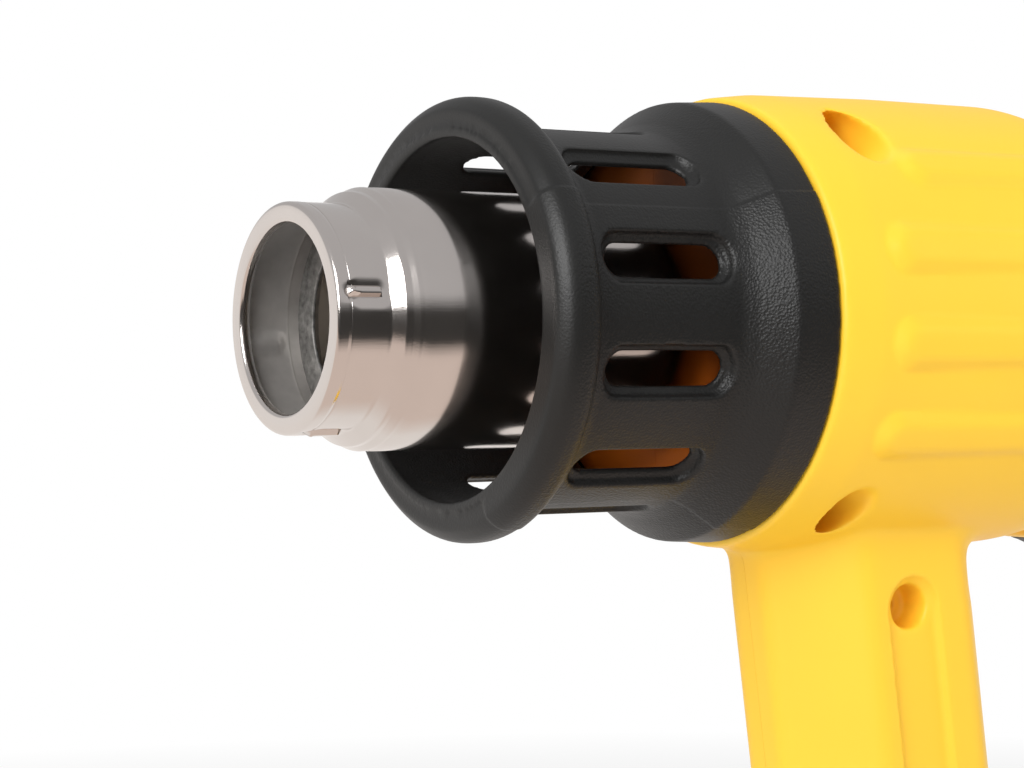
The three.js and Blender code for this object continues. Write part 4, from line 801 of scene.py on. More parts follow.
def guard_ring(g):
    """The guard before its slots: bead, cage, cone and collar, hollow inside."""
    start, cage_start = GUARD_START, GUARD_START + g.bead_length
    cone_start = cage_start + g.cage_length
    collar_start = cone_start + g.cone_length
    cage_bore, collar_bore = g.cage_radius - g.cage_wall, g.collar_radius - g.collar_wall
    profile = rounded([
        (start + 0.1, cage_bore, 0.5), (start, cage_bore + 4.4, 1.6),
        (start + 1.9, g.bead_radius + 0.2, 3.2), (start + 6.4, g.bead_radius + 0.2, 3.2),
        (cage_start - 0.6, g.cage_radius + 0.5, 0.9), (cage_start + 1.2, g.cage_radius, 1.5),
        (cone_start, g.cage_radius, 3.0), (cone_start + 2.2, g.cage_radius + 1.2, 3.5),
        (collar_start, g.collar_radius - 0.4, 1.1), (GUARD_END, g.collar_radius, 0.3),
        (GUARD_END, collar_bore, 0.3), (NOSE_START - 0.3, collar_bore, 1.0),
        (cone_start + 1, cage_bore, 2.0)])
    return spun("nozzle_guard_cage", profile, steps=264)


def guard_slots(g):
    """Slot tools: straight towards the axis, with a sunk rim and soft edges outside."""
    face, depth, rim = g.cage_radius, g.slot_rim_depth, g.slot_rim
    slot = stadium(g.slot_length, g.slot_width, [
        (face - 6, -0.1), (face - depth - 0.3, 0.0), (face - depth, rim * 0.6), (face - 0.3, rim * 0.75),
        (face + 0.3, rim * 1.2), (face + 2.5, rim * 1.35)])
    move_by(slot, shift(GUARD_START + g.bead_length + g.slot_setback + g.slot_length / 2))
    first = 90 + 1.5 * 360 / g.slots - math.degrees(g.slot_turn)
    return joined(round_the_axis(slot, g.slots, first))


def nozzle_guard(g):
    piece = combine(guard_ring(g), [guard_slots(g)])
    mould(piece, 0.38, 4)

    def above_parting(place):
        angle = math.atan2(place.z, -place.y)
        high = ease(angle, g.parting_high, g.parting_high + 0.01)
        low = 1 - ease(angle, g.parting_low - 0.01, g.parting_low)
        on_outside = math.hypot(place.y, place.z) > g.cage_radius - 1.0
        return max(high, low) * on_outside

    by_weight(piece, above_parting, "DISPLACE", strength=-g.parting_step * MM, mid_level=0.0)
    thin(piece, 190000)
    return piece


# Housing

def handle_front(h, z, body_radius):
    return BODY_START + h.setback + (-body_radius - z) * math.tan(h.lean)


def handle_solid(h, body_radius, inset=0.0, top=-24.0, foot=True):
    """The handle: a leaning block, cut to its chamfers, rounded and flared at its foot."""
    flare_start = BASE_Z + (FOOT_HEIGHT if foot else FOOT_FLOOR)
    lean = Vector((math.tan(h.lean), 0, -1))
    front = handle_front(h, top, body_radius) + inset
    depth, half_width = h.depth - 2 * inset, h.width / 2 - inset
    block = box((front, front + depth), (-half_width, half_width), (flare_start, top))
    edit(block)
    leaned = lean.x * (top - flare_start) * MM
    choose(block, lambda middle, _: middle.z < metres(0, 0, (top + flare_start) / 2).z)
    bpy.ops.transform.translate(value=(leaned, 0, 0))
    front_half = h.front_flat / 2 - 0.4 * inset
    chamfers = [
        ((front, front_half), (front + h.front_chamfer, half_width)),
        ((front + depth, half_width - h.rear_chamfer), (front + depth - h.rear_chamfer, half_width))]
    for (x0, y0), (x1, y1) in chamfers:
        for side in (1, -1):
            across = Vector((x1 - x0, side * (y1 - y0), 0))
            normal = across.cross(lean).normalized()
            if normal.y * side < 0:
                normal.negate()
            bpy.ops.mesh.select_all(action="SELECT")
            bpy.ops.mesh.bisect(
                plane_co=metres(x0, side * y0, top), plane_no=normal, use_fill=True, clear_outer=True)
    round_upright_edges(block, lean, inset)
    if foot:
        flare_foot(block, h, lean, body_radius)
    clean_up(block)
    return block


def round_upright_edges(block, lean, inset):
    """Bevels the edges that run down the handle: tighter ones in front, softer ones at the sides."""
    between = (10.0 - inset) * MM
    for at_the_side, radius in ((False, 1.4), (True, 1.6)):
        def on_crease(middle, edge):
            run = edge.verts[1].co - edge.verts[0].co
            upright = abs(run.normalized().dot(lean.normalized())) > 0.999
            return upright and (abs(middle.y) > between) == at_the_side

        choose(block, on_crease, "edges")
        bpy.ops.mesh.bevel(offset=radius * MM, segments=6, affect="EDGES")


def flare_foot(block, h, lean, body_radius):
    """Extrudes the lower end down to the base in a few steps that widen it and round it under."""
    height, growth = BASE_Z + FOOT_HEIGHT, 0.0
    for step, next_growth in FOOT_STEPS:
        next_height = BASE_Z + step
        choose(block, lambda middle, _: middle.z < metres(0, 0, height + 0.01).z)
        drop = height - next_height
        bpy.ops.mesh.extrude_region_move(TRANSFORM_OT_translate={"value": lean * drop * MM})
        wide, next_wide = (2 * h.flare / FOOT_GROWTH * share for share in (growth, next_growth))
        grown = [(side + next_wide) / (side + wide) for side in (h.depth, h.width)]
        centre = metres(handle_front(h, next_height, body_radius) + h.depth / 2, 0, next_height)
        bpy.ops.transform.resize(value=(*grown, 1), center_override=centre)
        height, growth = next_height, next_growth


def body_solid(s):
    """The round body's outside, with the nose that enters the guard."""
    profile = rounded([
        (NOSE_START, 0), (NOSE_START, s.nose_radius, 0.8), (BODY_START, s.nose_radius),
        (BODY_START, s.rim_radius, 0.5), (BODY_START + 7.0, s.radius - 0.55, 2.0),
        (BODY_START + 30.0, s.radius, 40.0), (BODY_END - s.tail_length, s.radius),
        (BODY_END, 0)], steps=8)[:-2]
    for i in range(15):
        share = i / 14
        drop = (s.radius - s.tail_radius) * ease(share, 0.0, 1.0)
        profile.append(Vector((BODY_END - s.tail_length * (1 - share), s.radius - drop)))
    profile.append(Vector((BODY_END, 0)))
    return spun("yellow_housing", profile, steps=256)


def heel_solid(start, end, s):
    """The low heel under the back end: a shallow ridge on the housing that deepens on the cap."""
    middle, bottom = BODY_END + PIECE_GAP / 2, -s.radius - 3.0
    outline = rounded([
        (middle - 20, bottom + 12), (middle - 15, bottom + 3.9), (middle - 5, bottom + 3.7, 8.0),
        (middle + 1, bottom + 2.6, 6.0), (middle + 6, bottom + 0.1, 3.0), (middle + 9, bottom, 3.0),
        (middle + 16, bottom + 2.6, 8.0), (middle + 20, bottom + 8), (middle + 20, bottom + 20),
        (middle - 20, bottom + 20)])
    pad = extruded(outline, "Y", -21, 21)
    across = rounded([
        (-6.5, bottom, 2.5), (-9, bottom + 1.8, 3.0), (-18, bottom + 14), (-18, bottom + 24),
        (18, bottom + 24), (18, bottom + 14), (9, bottom + 1.8, 3.0), (6.5, bottom, 2.5)])
    combine(pad, [extruded(across, "X", start, end)], "INTERSECT")
    return pad


def extruded(outline, axis, start, end):
    """A prism: [x, z] points pushed along y, or [y, z] points pushed along x."""
    if axis == "Y":
        points, push = [metres(a, start, b) for a, b in outline], Vector((0, end - start, 0))
    else:
        points, push = [metres(start, a, b) for a, b in outline], Vector((end - start, 0, 0))
    piece = traced(points + points[:1])
    bpy.ops.mesh.remove_doubles(threshold=0.002 * MM)
    bpy.ops.mesh.edge_face_add()
    bpy.ops.mesh.extrude_region_move(TRANSFORM_OT_translate={"value": push * MM})
    clean_up(piece)
    return piece


def side_ribs(s):
    """Raised ribs with round ends along both sides."""
    end = BODY_START + s.rib_setback + s.rib_length
    top_angle, pitch = 40, 23
    ribs = []
    for i in range(s.ribs):
        angle = top_angle - pitch * i
        start = BODY_START + (s.rib_setback if i else s.top_rib_setback)
        layers = [(s.radius - 4, 0.3), (s.radius - 0.3, 0.3), (s.radius + 0.25 * s.rib_height, -0.5),
                  (s.radius + 0.8 * s.rib_height, -1.3), (s.radius + s.rib_height, -2.3)]
        rib = stadium(end - start, s.rib_width, layers, sides=40)
        move_by(rib, shift((start + end) / 2))
        for side in (1, -1):
            turn = Matrix.Rotation(math.radians(side * (90 - angle)), 4, "X")
            ribs.append(move_by(copy_of(rib), Matrix.Translation(ORIGIN) @ turn))
        bpy.data.objects.remove(rib)
    return ribs


def channels(h, s):
    """The long groove along each side of the handle, with sloping walls."""
    top = SCREWS["housing_screw_grip_top"].z + h.channel_width / 2
    middle_z = top - h.channel_length / 2
    middle_x = handle_front(h, middle_z, s.radius) + h.screw_setback
    face = h.width / 2
    layers = [(face - h.channel_depth, -0.7), (face - 0.1, -0.1), (face + 5, 0.0)]
    tool = stadium(h.channel_length, h.channel_width, layers, sides=48)
    tools = []
    for side in (1, -1):
        stand = Matrix.Rotation(math.radians(-90 * side), 4, "X")
        turn = Matrix.Rotation(math.radians(90) - h.lean, 4, "Y")
        place = Matrix.Translation(metres(middle_x, 0, middle_z))
        tools.append(move_by(copy_of(tool), place @ turn @ stand))
    bpy.data.objects.remove(tool)
    return tools


def recess_radius_at(place, s):
    return s.recess_radius if place.z > 0 else s.low_recess_radius


def recesses(s):
    tools = []
    for place in SCREWS.values():
        centre = (place.x, 0, place.z)
        radius = recess_radius_at(place, s)
        for side in (1, -1):
            ends = sorted((side * s.recess_floor, side * (s.radius + 2)))
            tools.append(rod("Y", radius, *ends, centre))
        tools.append(rod("Y", s.pilot_radius, -s.recess_floor - 1, s.recess_floor + 1, centre, sides=24))
    return tools


def closed_housing(s, h):
    """The outside of both halves together: united, filleted, then given its ribs, grooves and recesses."""
    piece = combine(body_solid(s), [handle_solid(h, s.radius)], "UNION")
    combine(piece, [heel_solid(BODY_END - 9, BODY_END, s)], "UNION")
    mould(piece, 0.6, 1)

    rear = handle_front(h, -s.radius, s.radius) + h.depth

    def near_the_junction(place):
        depth = -place.z - s.radius
        below = ease(depth, -12, -4) * (1 - ease(depth, 3, 8))
        within = 1 - ease(abs(place.y), h.width / 2 + 4, h.width / 2 + 8)
        behind = ease(place.x, BODY_START + 0.2, BODY_START + 4)
        before = 1 - ease(place.x, BODY_END - 24, BODY_END - 18)
        return below * within * behind * before

    def behind_the_handle(place):
        depth, along = -place.z - s.radius, place.x - rear
        below = ease(depth, -5, -2) * (1 - ease(depth, 5, 10))
        return below * ease(along, -7, -2) * (1 - ease(along, 9, 15))

    for weight_at, passes in ((near_the_junction, 40), (behind_the_handle, 140)):
        by_weight(piece, weight_at, "SMOOTH", factor=0.5, iterations=passes)
    combine(piece, side_ribs(s), "UNION")
    combine(piece, channels(h, s))
    combine(piece, recesses(s))
    mould(piece, 0.45, 4)
    thin(piece, 340000)
    soften_recess_rims(piece, s)
    return piece


def soften_recess_rims(piece, s):
    """Evens the sharp rims where the screw recesses run out through the curved side."""
    screws = [(place.x, place.z, recess_radius_at(place, s)) for place in SCREWS.values()]

    def on_a_rim(place):
        nearest = min(abs(math.hypot(place.x - x, place.z - z) - radius) for x, z, radius in screws)
        return (1 - ease(nearest, 0.7, 1.7)) * ease(abs(place.y), 11.0, 13.0)

    by_weight(piece, on_a_rim, "SMOOTH", factor=0.5, iterations=14)


def housing_cavity(s, h):
    """The space inside: body and handle, less the screw posts."""
    front, inner, nose = NOSE_START + s.bulkhead, s.radius - s.wall, s.nose_radius - s.wall
    cap_seat = 29.4
    profile = [
        (front, 0), (front, nose), (BODY_START + s.wall, nose), (BODY_START + 11, inner),
        (BODY_END - 19, inner), (BODY_END - 2.5, s.tail_radius - s.wall + 0.8),
        (BODY_END - 2.5, cap_seat), (BODY_END + 1, cap_seat), (BODY_END + 1, 0)]
    cavity = spun("cavity", profile, steps=96)
    combine(cavity, [handle_solid(h, s.radius, inset=s.wall, foot=False)], "UNION")
    post_radius = s.recess_radius + 1.3
    combine(cavity, [rod("Y", post_radius, -40, 40, (place.x, 0, place.z)) for place in SCREWS.values()])
    return cavity


def housing_openings(s, h, c):
    """Holes through the housing for the outlet tube, the cord gland and the switch."""
    gap = 0.15
    gland = middle_of("cord_gland")
    centre = (gland.x, gland.y, 0)
    return [
        rod("X", TUBE_HOLE_RADIUS, NOSE_START - 1, NOSE_START + s.bulkhead + 1, sides=128),
        rod("Z", c.gland_neck + 0.1, BASE_Z - 1, BASE_Z + 6, centre, sides=64),
        rod("Z", c.gland_radius + gap, BASE_Z - 1, BASE_Z + 1.7, centre, sides=64),
        switch_space(h, c, gap, -1.7),
        switch_space(h, c, gap - c.bezel_lip, -6),
    ]


def into_switch(piece, h):
    """Moves a piece from the drawing's origin to the rocker's pivot, in the handle's lean."""
    place = Matrix.Translation(Vector(JOINT_PLACES["switch_rock"])) @ Matrix.Rotation(-h.lean, 4, "Y")
    return move_by(piece, place @ Matrix.Translation(-ORIGIN))


def switch_block(c, start, end, half_width, half_height):
    """A block whose ends are measured out from the handle's back face."""
    ends = (start + c.pivot_depth, end + c.pivot_depth)
    return box(ends, (-half_width, half_width), (-half_height, half_height))


def switch_space(h, c, spare, inner):
    """Room for the switch, wider than its bezel by the spare, out through the handle's back face."""
    return into_switch(switch_block(c, inner, 4, c.switch_width / 2 + spare, c.switch_height / 2 + spare), h)


def housing_halves(s, h, c):
    whole = closed_housing(s, h)
    combine(whole, [housing_cavity(s, h)])
    combine(whole, housing_openings(s, h, c))
    halves = {}
    for node, side in (("housing_left", -1), ("housing_right", 1)):
        half = copy_of(whole, "yellow_" + node)
        across = sorted((side * s.seam / 2, side * 60))
        combine(half, [box((50, 200), across, (BASE_Z - 5, 60))], "INTERSECT")
        halves[node] = half
    bpy.data.objects.remove(whole)
    return halves


# Rear cap, dial, switch and gland

def rear_cap(s):
    """Vented cap: side intakes, a rounded back, a flat rim to stand on and a dish for the dial."""
    start = BODY_END + PIECE_GAP
    radius, wall = s.radius - 2.3, 2.4
    dish_back = DISH_FACE - wall
    profile = rounded([
        (CAP_FLANGE_START, 26.6), (CAP_FLANGE_START, 31.0, 0.3), (CAP_FLANGE_START + 2.1, 31.0, 0.3),
        (CAP_FLANGE_START + 2.1, 29.0), (start, 29.0), (start, s.tail_radius + 0.4, 0.5),
        (start + 2.4, radius, 2.0), (CAP_END - 12, radius - 0.4, 12.0), (CAP_END - 3.4, radius - 3.2, 5.0),
        (CAP_END, 28.0, 1.2), (CAP_END, 25.0, 0.5), (DISH_FACE, 24.0, 0.8), (DISH_FACE, 3.6, 0.2),
        (dish_back, 3.6), (dish_back, radius - 5, 3.0), (CAP_END - 13, radius - 0.5 - wall, 6.0),
        (start + 2.5, radius - 0.2 - wall), (start + 2.5, 26.6)])
    cap = spun("vented_rear_cap", profile, steps=224)
    heel = heel_solid(start, CAP_END, s)
    combine(heel, [rod("X", radius - 1.5, start - 1, CAP_END, sides=128)])
    combine(cap, [heel], "UNION")
    intake = stadium(20, 3.6, [(radius - 6, 0.0), (radius - 0.5, 0.0), (radius + 1.5, 0.9)])
    move_by(intake, shift((start + 2.5 + dish_back) / 2))
    intakes = round_the_axis(intake, 14, 360 / 28)
    for under_heel in intakes[6:8]:
        bpy.data.objects.remove(under_heel)
    combine(cap, [joined(intakes[:6] + intakes[8:])])
    slot = stadium(8, 2.6, [(-2, 0.0), (DISH_FACE - dish_back - 0.4, 0.0), (DISH_FACE - dish_back + 1, 0.7)])
    move_by(slot, shift(dish_back, 0, 18.8) @ Matrix.Rotation(math.pi / 2, 4, "Y"))
    combine(cap, [joined(round_the_axis(slot, 8))])
    mould(cap, 0.5, 3)
    thin(cap, 150000)
    return cap


def temperature_dial(c):
    """Dial with finger grips, a chamfered face, a raised hub and a socket for its spindle."""
    start, end, radius = DIAL_START, DIAL_END, c.dial_radius
    profile = rounded([
        (start, 3.3), (start, radius - 0.4, 0.3), (start + 0.5, radius, 0.3), (end - 0.9, radius, 0.8),
        (end - 0.35, radius - 2.2, 1.0), (end - 0.35, 7.4, 0.4), (end, 6.8, 0.4), (end, 0),
        (end - 1.4, 0), (end - 1.4, 3.3)])
    dial = spun("grip_dial", profile, steps=144)
    hollow_radius = 2.2
    off_axis = radius + hollow_radius - c.dial_grip_depth
    for i in range(c.dial_grips):
        angle = 2 * math.pi * (i + 0.5) / c.dial_grips
        centre = (0, off_axis * math.sin(angle), off_axis * math.cos(angle))
        combine(dial, [rod("X", hollow_radius, start - 1, end + 1, centre, sides=40)])
    combine(dial, [box((end - 0.3, end + 1), (-0.6, 0.6), (radius * 0.45, radius - 0.6))])
    mould(dial, 0.22, 2)
    thin(dial, 36000)
    return dial


def dial_pointer(c):
    """White line laid in the dial's groove."""
    line = box((DIAL_END - 1.2, DIAL_END - 0.12), (-0.5, 0.5), (c.dial_radius * 0.47, c.dial_radius - 2.6))
    work_on(line).name = "dial_pointer"
    modifier(line, "BEVEL", width=0.12 * MM, segments=3)
    return line


def printed(text, height, matrix):
    """Lettering as a thin closed mesh, moved from the origin to its place."""
    deselect_everything()
    bpy.ops.object.text_add()
    label = bpy.context.object
    label.data.body = text
    label.data.size = height * MM / 0.72
    label.data.align_x, label.data.align_y = "CENTER", "CENTER"
    label.data.extrude = 0.06 * MM
    label.data.resolution_u = 4
    bpy.ops.object.convert(target="MESH")
    return move_by(bpy.context.object, matrix)


# Stands lettering upright, to be read from behind the tool
FACE_BACK = Matrix(((0, 0, 1, 0), (1, 0, 0, 0), (0, 1, 0, 0), (0, 0, 0, 1)))


def dial_numbers(c):
    """Plain numbers on the cap round the dial, clockwise as seen from behind."""
    dish_radius, sweep = 23.0, 225.0
    radius = (c.dial_radius + dish_radius) / 2
    labels = []
    for i in range(c.dial_settings):
        angle = math.radians(-sweep / 2 + sweep * i / (c.dial_settings - 1))
        place = metres(DISH_FACE + 0.05, radius * math.sin(angle), radius * math.cos(angle))
        labels.append(printed(str(i + 1), c.number_height, Matrix.Translation(place) @ FACE_BACK))
    numbers = joined(labels)
    numbers.name = "dial_numbers"
    return numbers


def switch_body(c, h):
    """Bezel in the handle's back, a box behind it and the well that the rocker turns in."""
    half_width, half_height, lip = c.switch_width / 2, c.switch_height / 2, c.bezel_lip
    bezel = switch_block(c, -1.4, 0.6, half_width, half_height)
    modifier(bezel, "BEVEL", width=0.5 * MM, segments=4)
    combine(bezel, [switch_block(c, -c.switch_depth, -1.0, half_width - lip, half_height - lip)], "UNION")
    reach = math.hypot(c.rocker_height / 2, c.pivot_depth + c.rocker_crown) + 0.4
    wide = c.rocker_width / 2 + 0.3
    combine(bezel, [switch_block(c, -5 - c.pivot_depth, 2, wide, reach)])
    combine(bezel, [rod("Y", 1.3, -wide - 0.8, wide + 0.8, sides=24)])
    mould(bezel, 0.25, 2)
    thin(bezel, 30000)
    bezel.name = "switch_bezel_and_body"
    return into_switch(bezel, h)


def rocker_top(c, z):
    """How far the rocker's hollow top stands out from its pivot, at a height."""
    return c.pivot_depth - 0.3 + (c.rocker_crown + 0.3) * (2 * z / c.rocker_height) ** 2


def switch_rocker(c, h):
    """Rocker with a hollow top, soft edges and a pin."""
    half = c.rocker_height / 2
    top = [(rocker_top(c, half * i / 8), half * i / 8) for i in range(-8, 9)]
    under = [(1.2, half * 0.97), (-2.4, half * 0.45), (-3.0, 0), (-2.4, -half * 0.45), (1.2, -half * 0.97)]
    rocker = extruded(top + under, "Y", -c.rocker_width / 2, c.rocker_width / 2)
    pin = c.rocker_width / 2 + 0.8
    combine(rocker, [rod("Y", 1.0, -pin, pin, sides=32)], "UNION")
    mould(rocker, 0.2, 3)
    rocker.name = "switch_rocker_red"
    return into_switch(rocker, h)


def rocker_marks(c, h):
    """Plain numbers for the rocker's three places."""
    mark_height, off_pivot = 2.6, 5.2
    marks = []
    for text, z in (("1", off_pivot), ("0", 0.0), ("2", -off_pivot)):
        slope = math.atan(2 * (c.rocker_crown + 0.3) * 4 * z / c.rocker_height ** 2)
        tilt = Matrix.Rotation(slope, 4, "Y")
        place = metres(rocker_top(c, z) + 0.01, 0, z)
        marks.append(printed(text, mark_height, Matrix.Translation(place) @ tilt @ FACE_BACK))
    made = joined(marks)
    made.name = "rocker_marks"
    return into_switch(made, h)


def cord_gland(c):
    """Rubber bush with a flared bore, held by its groove in the handle's base."""
    low, high = reach_of("cord_gland", 2)
    middle = middle_of("cord_gland")
    shelf = BASE_Z + 1.4
    profile = rounded([
        (low + 0.5, c.gland_bore, 0.5), (low, c.gland_bore + 0.9, 0.3), (low, c.gland_radius - 2.6, 0.1),
        (low + 0.35, c.gland_radius - 2.4, 0.1), (low + 0.35, c.gland_radius - 1.7, 0.1),
        (low, c.gland_radius - 1.5, 0.1), (low, c.gland_radius - 0.1, 0.4), (shelf, c.gland_radius, 0.2),
        (shelf, c.gland_neck), (high - 2, c.gland_neck), (high - 2, c.gland_radius, 0.3),
        (high, c.gland_radius - 1, 0.5), (high, c.gland_bore, 0.3)])
    return spun("rubber_cord_gland", profile, steps=96, axis="Z", centre=(middle.x, middle.y, 0))


def housing_screw(c, start, end):
    """Screw along y with a domed head, a cross recess and a ridged thread."""
    head = end - 2.2
    profile = [(start, 0), (start, 0.35), (start + 1.4, c.screw_core)]
    along = start + 1.6
    while along + c.screw_pitch < head - 2.0:
        profile += [(along, c.screw_core), (along + c.screw_pitch * 0.4, c.screw_thread),
                    (along + c.screw_pitch * 0.55, c.screw_thread)]
        along += c.screw_pitch
    profile += [(along + 0.2, c.screw_core), (head, c.screw_core + 0.1)]
    profile += rounded([(head, 3.3, 0.15), (head + 1.0, 3.3, 0.7), (end - 0.1, 2.3, 1.0), (end, 0)])[:-1]
    screw = spun("screw", profile + [(end, 0)], steps=48, axis="Y")
    for wide, long in ((0.42, 1.9), (1.9, 0.42)):
        combine(screw, [box((-wide, wide), (end - 1.3, end + 1), (-long, long))])
    return screw


# Stage: camera, floor, surroundings and lights

class HOTAIR_OT_stage(bpy.types.Operator):
    """Camera at the photograph's angle, pale floor, white surroundings and soft studio lights"""
    bl_idname = "hotair.stage"
    bl_label = "Stage, Lights and Camera"

    def execute(self, context):
        context.scene.view_settings.view_transform = "Standard"
        make_camera(context)
        make_floor()
        make_world(context)
        make_lights()
        return {"FINISHED"}


# Camera fitted to the outlines in the photograph
CAMERA_PLACE = (-0.2688, -0.3371, 0.1403)
CAMERA_TARGET = (-0.05726, 0.0, 0.14034)
CAMERA_ROLL = math.radians(-0.31)
SENSOR_WIDTH = 36.0
FOCAL_PIXELS = 2600.0
PHOTO_WIDTH = 1024.0


def make_camera(context):
    data = bpy.data.cameras.new("camera")
    data.sensor_width = SENSOR_WIDTH
    data.lens = SENSOR_WIDTH * FOCAL_PIXELS / PHOTO_WIDTH
    camera = bpy.data.objects.new("camera", data)
    context.scene.collection.objects.link(camera)
    look = Vector(CAMERA_TARGET) - Vector(CAMERA_PLACE)
    turn = look.to_track_quat("-Z", "Y").to_matrix().to_4x4() @ Matrix.Rotation(CAMERA_ROLL, 4, "Z")
    camera.matrix_world = Matrix.Translation(CAMERA_PLACE) @ turn
    context.scene.camera = camera


def cleared_tree(holder):
    """The empty node tree of a material or a world."""
    holder.use_nodes = True
    holder.node_tree.nodes.clear()
    return holder.node_tree


def emission(tree, colour):
    return shader_node(tree, "Emission", {"Color": colour, "Strength": 1.0}).outputs[0]


def ray_kinds(tree):
    """1 for what a shiny surface mirrors, and 1 for that and all that the camera sees."""
    rays = shader_node(tree, "LightPath").outputs
    seen = maths(tree, "MAXIMUM", rays["Is Camera Ray"], rays["Is Transmission Ray"])
    return rays["Is Glossy Ray"], maths(tree, "MAXIMUM", seen, rays["Is Glossy Ray"])


def make_floor():
    """A pale floor: near the tool it takes its shadow, and further out it is as white as the
    surroundings."""
    deselect_everything()
    bpy.ops.mesh.primitive_circle_add(vertices=96, radius=6.0, fill_type="NGON")
    floor = bpy.context.object
    floor.name = "studio_floor"
    made = bpy.data.materials.new("pale_floor")
    tree = cleared_tree(made)
    where = shader_node(tree, "NewGeometry").outputs["Position"]
    far = ranged(tree, length_of(tree, where), start=0.3, end=0.62)
    mirrored, seen = ray_kinds(tree)
    share = maths(tree, "MULTIPLY", seen, far)
    pale = shader_node(tree, "BsdfDiffuse", {"Color": (0.8, 0.8, 0.8, 1)}).outputs[0]
    look = shader_node(tree, "MixShader", {0: share, 1: pale, 2: emission(tree, (1, 1, 1, 1))}).outputs[0]
    inputs = {0: mirrored, 1: look, 2: mirrored_floor(tree, where)}
    look = shader_node(tree, "MixShader", inputs).outputs[0]
    shader_node(tree, "OutputMaterial", {"Surface": look})
    floor.data.materials.append(made)


def mirrored_floor(tree, where):
    """What polished steel mirrors of the floor: warm and pale, dark on the camera's side, white behind."""
    across = parts_of(tree, where)["Y"]
    front = ranged(tree, across, start=-0.24, end=-0.42)
    behind = ranged(tree, across, start=-0.01, end=0.05)
    table = mix(tree, front, (0.83, 0.7, 0.63), (0.05, 0.048, 0.046))
    return emission(tree, mix(tree, behind, table, (1.0, 0.96, 0.93)))


def mirrored_room(tree):
    """What polished steel mirrors of the room: dark low on the camera's side, grey above, white behind."""
    parts = parts_of(tree, shader_node(tree, "TexCoord").outputs["Generated"])
    behind = ranged(tree, parts["Y"], start=-0.3, end=0.3)
    above = ranged(tree, parts["Z"], start=0.1, end=0.32)
    low = mix(tree, behind, (0.05, 0.048, 0.046), (1.0, 0.97, 0.95))
    return mix(tree, above, low, (0.56, 0.555, 0.56))


def make_world(context):
    world = bpy.data.worlds.new("surroundings")
    context.scene.world = world
    tree = cleared_tree(world)
    mirrored, seen = ray_kinds(tree)
    colour = mix(tree, mirrored, (1.0, 1.0, 1.0), mirrored_room(tree))
    inputs = {"Color": colour, "Strength": ranged(tree, seen, 0.52, 1.0)}
    back = shader_node(tree, "Background", inputs).outputs[0]
    shader_node(tree, "OutputWorld", {"Surface": back})


def make_lights():
    """Soft panels: one over the camera's left shoulder, a weaker one on the right and one above."""
    panels = {
        "key_panel": ((-0.95, -0.62, 0.62), 0.6, 11.5, True),
        "side_panel": ((0.95, -0.7, 0.4), 0.7, 4.0, False),
        "top_panel": ((0.0, 0.25, 1.1), 0.6, 3.4, False),
    }
    for name, (place, width, power, mirrored) in panels.items():
        data = bpy.data.lights.new(name, "AREA")
        data.shape = "SQUARE"
        data.size = width
        data.energy = power
        panel = bpy.data.objects.new(name, data)
        panel.location = place
        aim = Vector((0, 0, AXIS_Z)) - Vector(place)
        panel.rotation_mode = "QUATERNION"
        panel.rotation_quaternion = aim.to_track_quat("-Z", "Y")
        panel.visible_glossy = mirrored
        bpy.context.scene.collection.objects.link(panel)


class HOTAIR_OT_nozzle(bpy.types.Operator):
    """Polished steel outlet tube and the sleeve in its mouth"""
    bl_idname = "hotair.nozzle"
    bl_label = "Outlet Tube and Sleeve"

    def execute(self, context):
        n = sizes(context, "nozzle_sizes")
        finish_piece(nozzle_tube(n), ["nozzle_tube"], polished_steel(context), edge_angle=50)
        finish_piece(nozzle_sleeve(n), ["nozzle_sleeve"], scaled_steel(context))
        return {"FINISHED"}


class HOTAIR_OT_guard(bpy.types.Operator):
    """Black guard with its bead, slots, cone and collar"""
    bl_idname = "hotair.guard"
    bl_label = "Nozzle Guard"

    def execute(self, context):
        piece = nozzle_guard(sizes(context, "guard_sizes"))
        finish_piece(piece, ["nozzle_guard"], grained_black(context, parted=True), edge_angle=60)
        return {"FINISHED"}


class HOTAIR_OT_housing(bpy.types.Operator):
    """Two halves of the yellow housing with their handle, ribs, grooves and screw recesses"""
    bl_idname = "hotair.housing"
    bl_label = "Housing Halves"

    def execute(self, context):
        finish = yellow_plastic(context)
        groups = [sizes(context, group) for group in ("housing_sizes", "handle_sizes", "control_sizes")]
        halves = housing_halves(*groups)
        for node, half in halves.items():
            finish_piece(half, [node], finish, edge_angle=50)
        return {"FINISHED"}


class HOTAIR_OT_rear_cap(bpy.types.Operator):
    """Vented black cap at the back"""
    bl_idname = "hotair.rear_cap"
    bl_label = "Rear Cap"

    def execute(self, context):
        piece = rear_cap(sizes(context, "housing_sizes"))
        finish_piece(piece, ["rear_cap"], grained_black(context), edge_angle=60)
        return {"FINISHED"}


class HOTAIR_OT_dial(bpy.types.Operator):
    """Temperature dial, its pointer line and the numbers round it"""
    bl_idname = "hotair.dial"
    bl_label = "Temperature Dial"

    def execute(self, context):
        c = sizes(context, "control_sizes")
        colours = context.scene.tool_colours
        white = plain_finish("white_print", colours.print_white, 0.55, grain=3.0, depth=0.004)
        black = plain_finish("satin_black_dial", tinted(colours.black, 2.0), 0.38, grain=2.4, depth=0.012)
        finish_piece(temperature_dial(c), ["temperature_dial"], black, edge_angle=50)
        finish_mark(dial_pointer(c), "dial", white)
        finish_mark(dial_numbers(c), "tool", white)
        return {"FINISHED"}


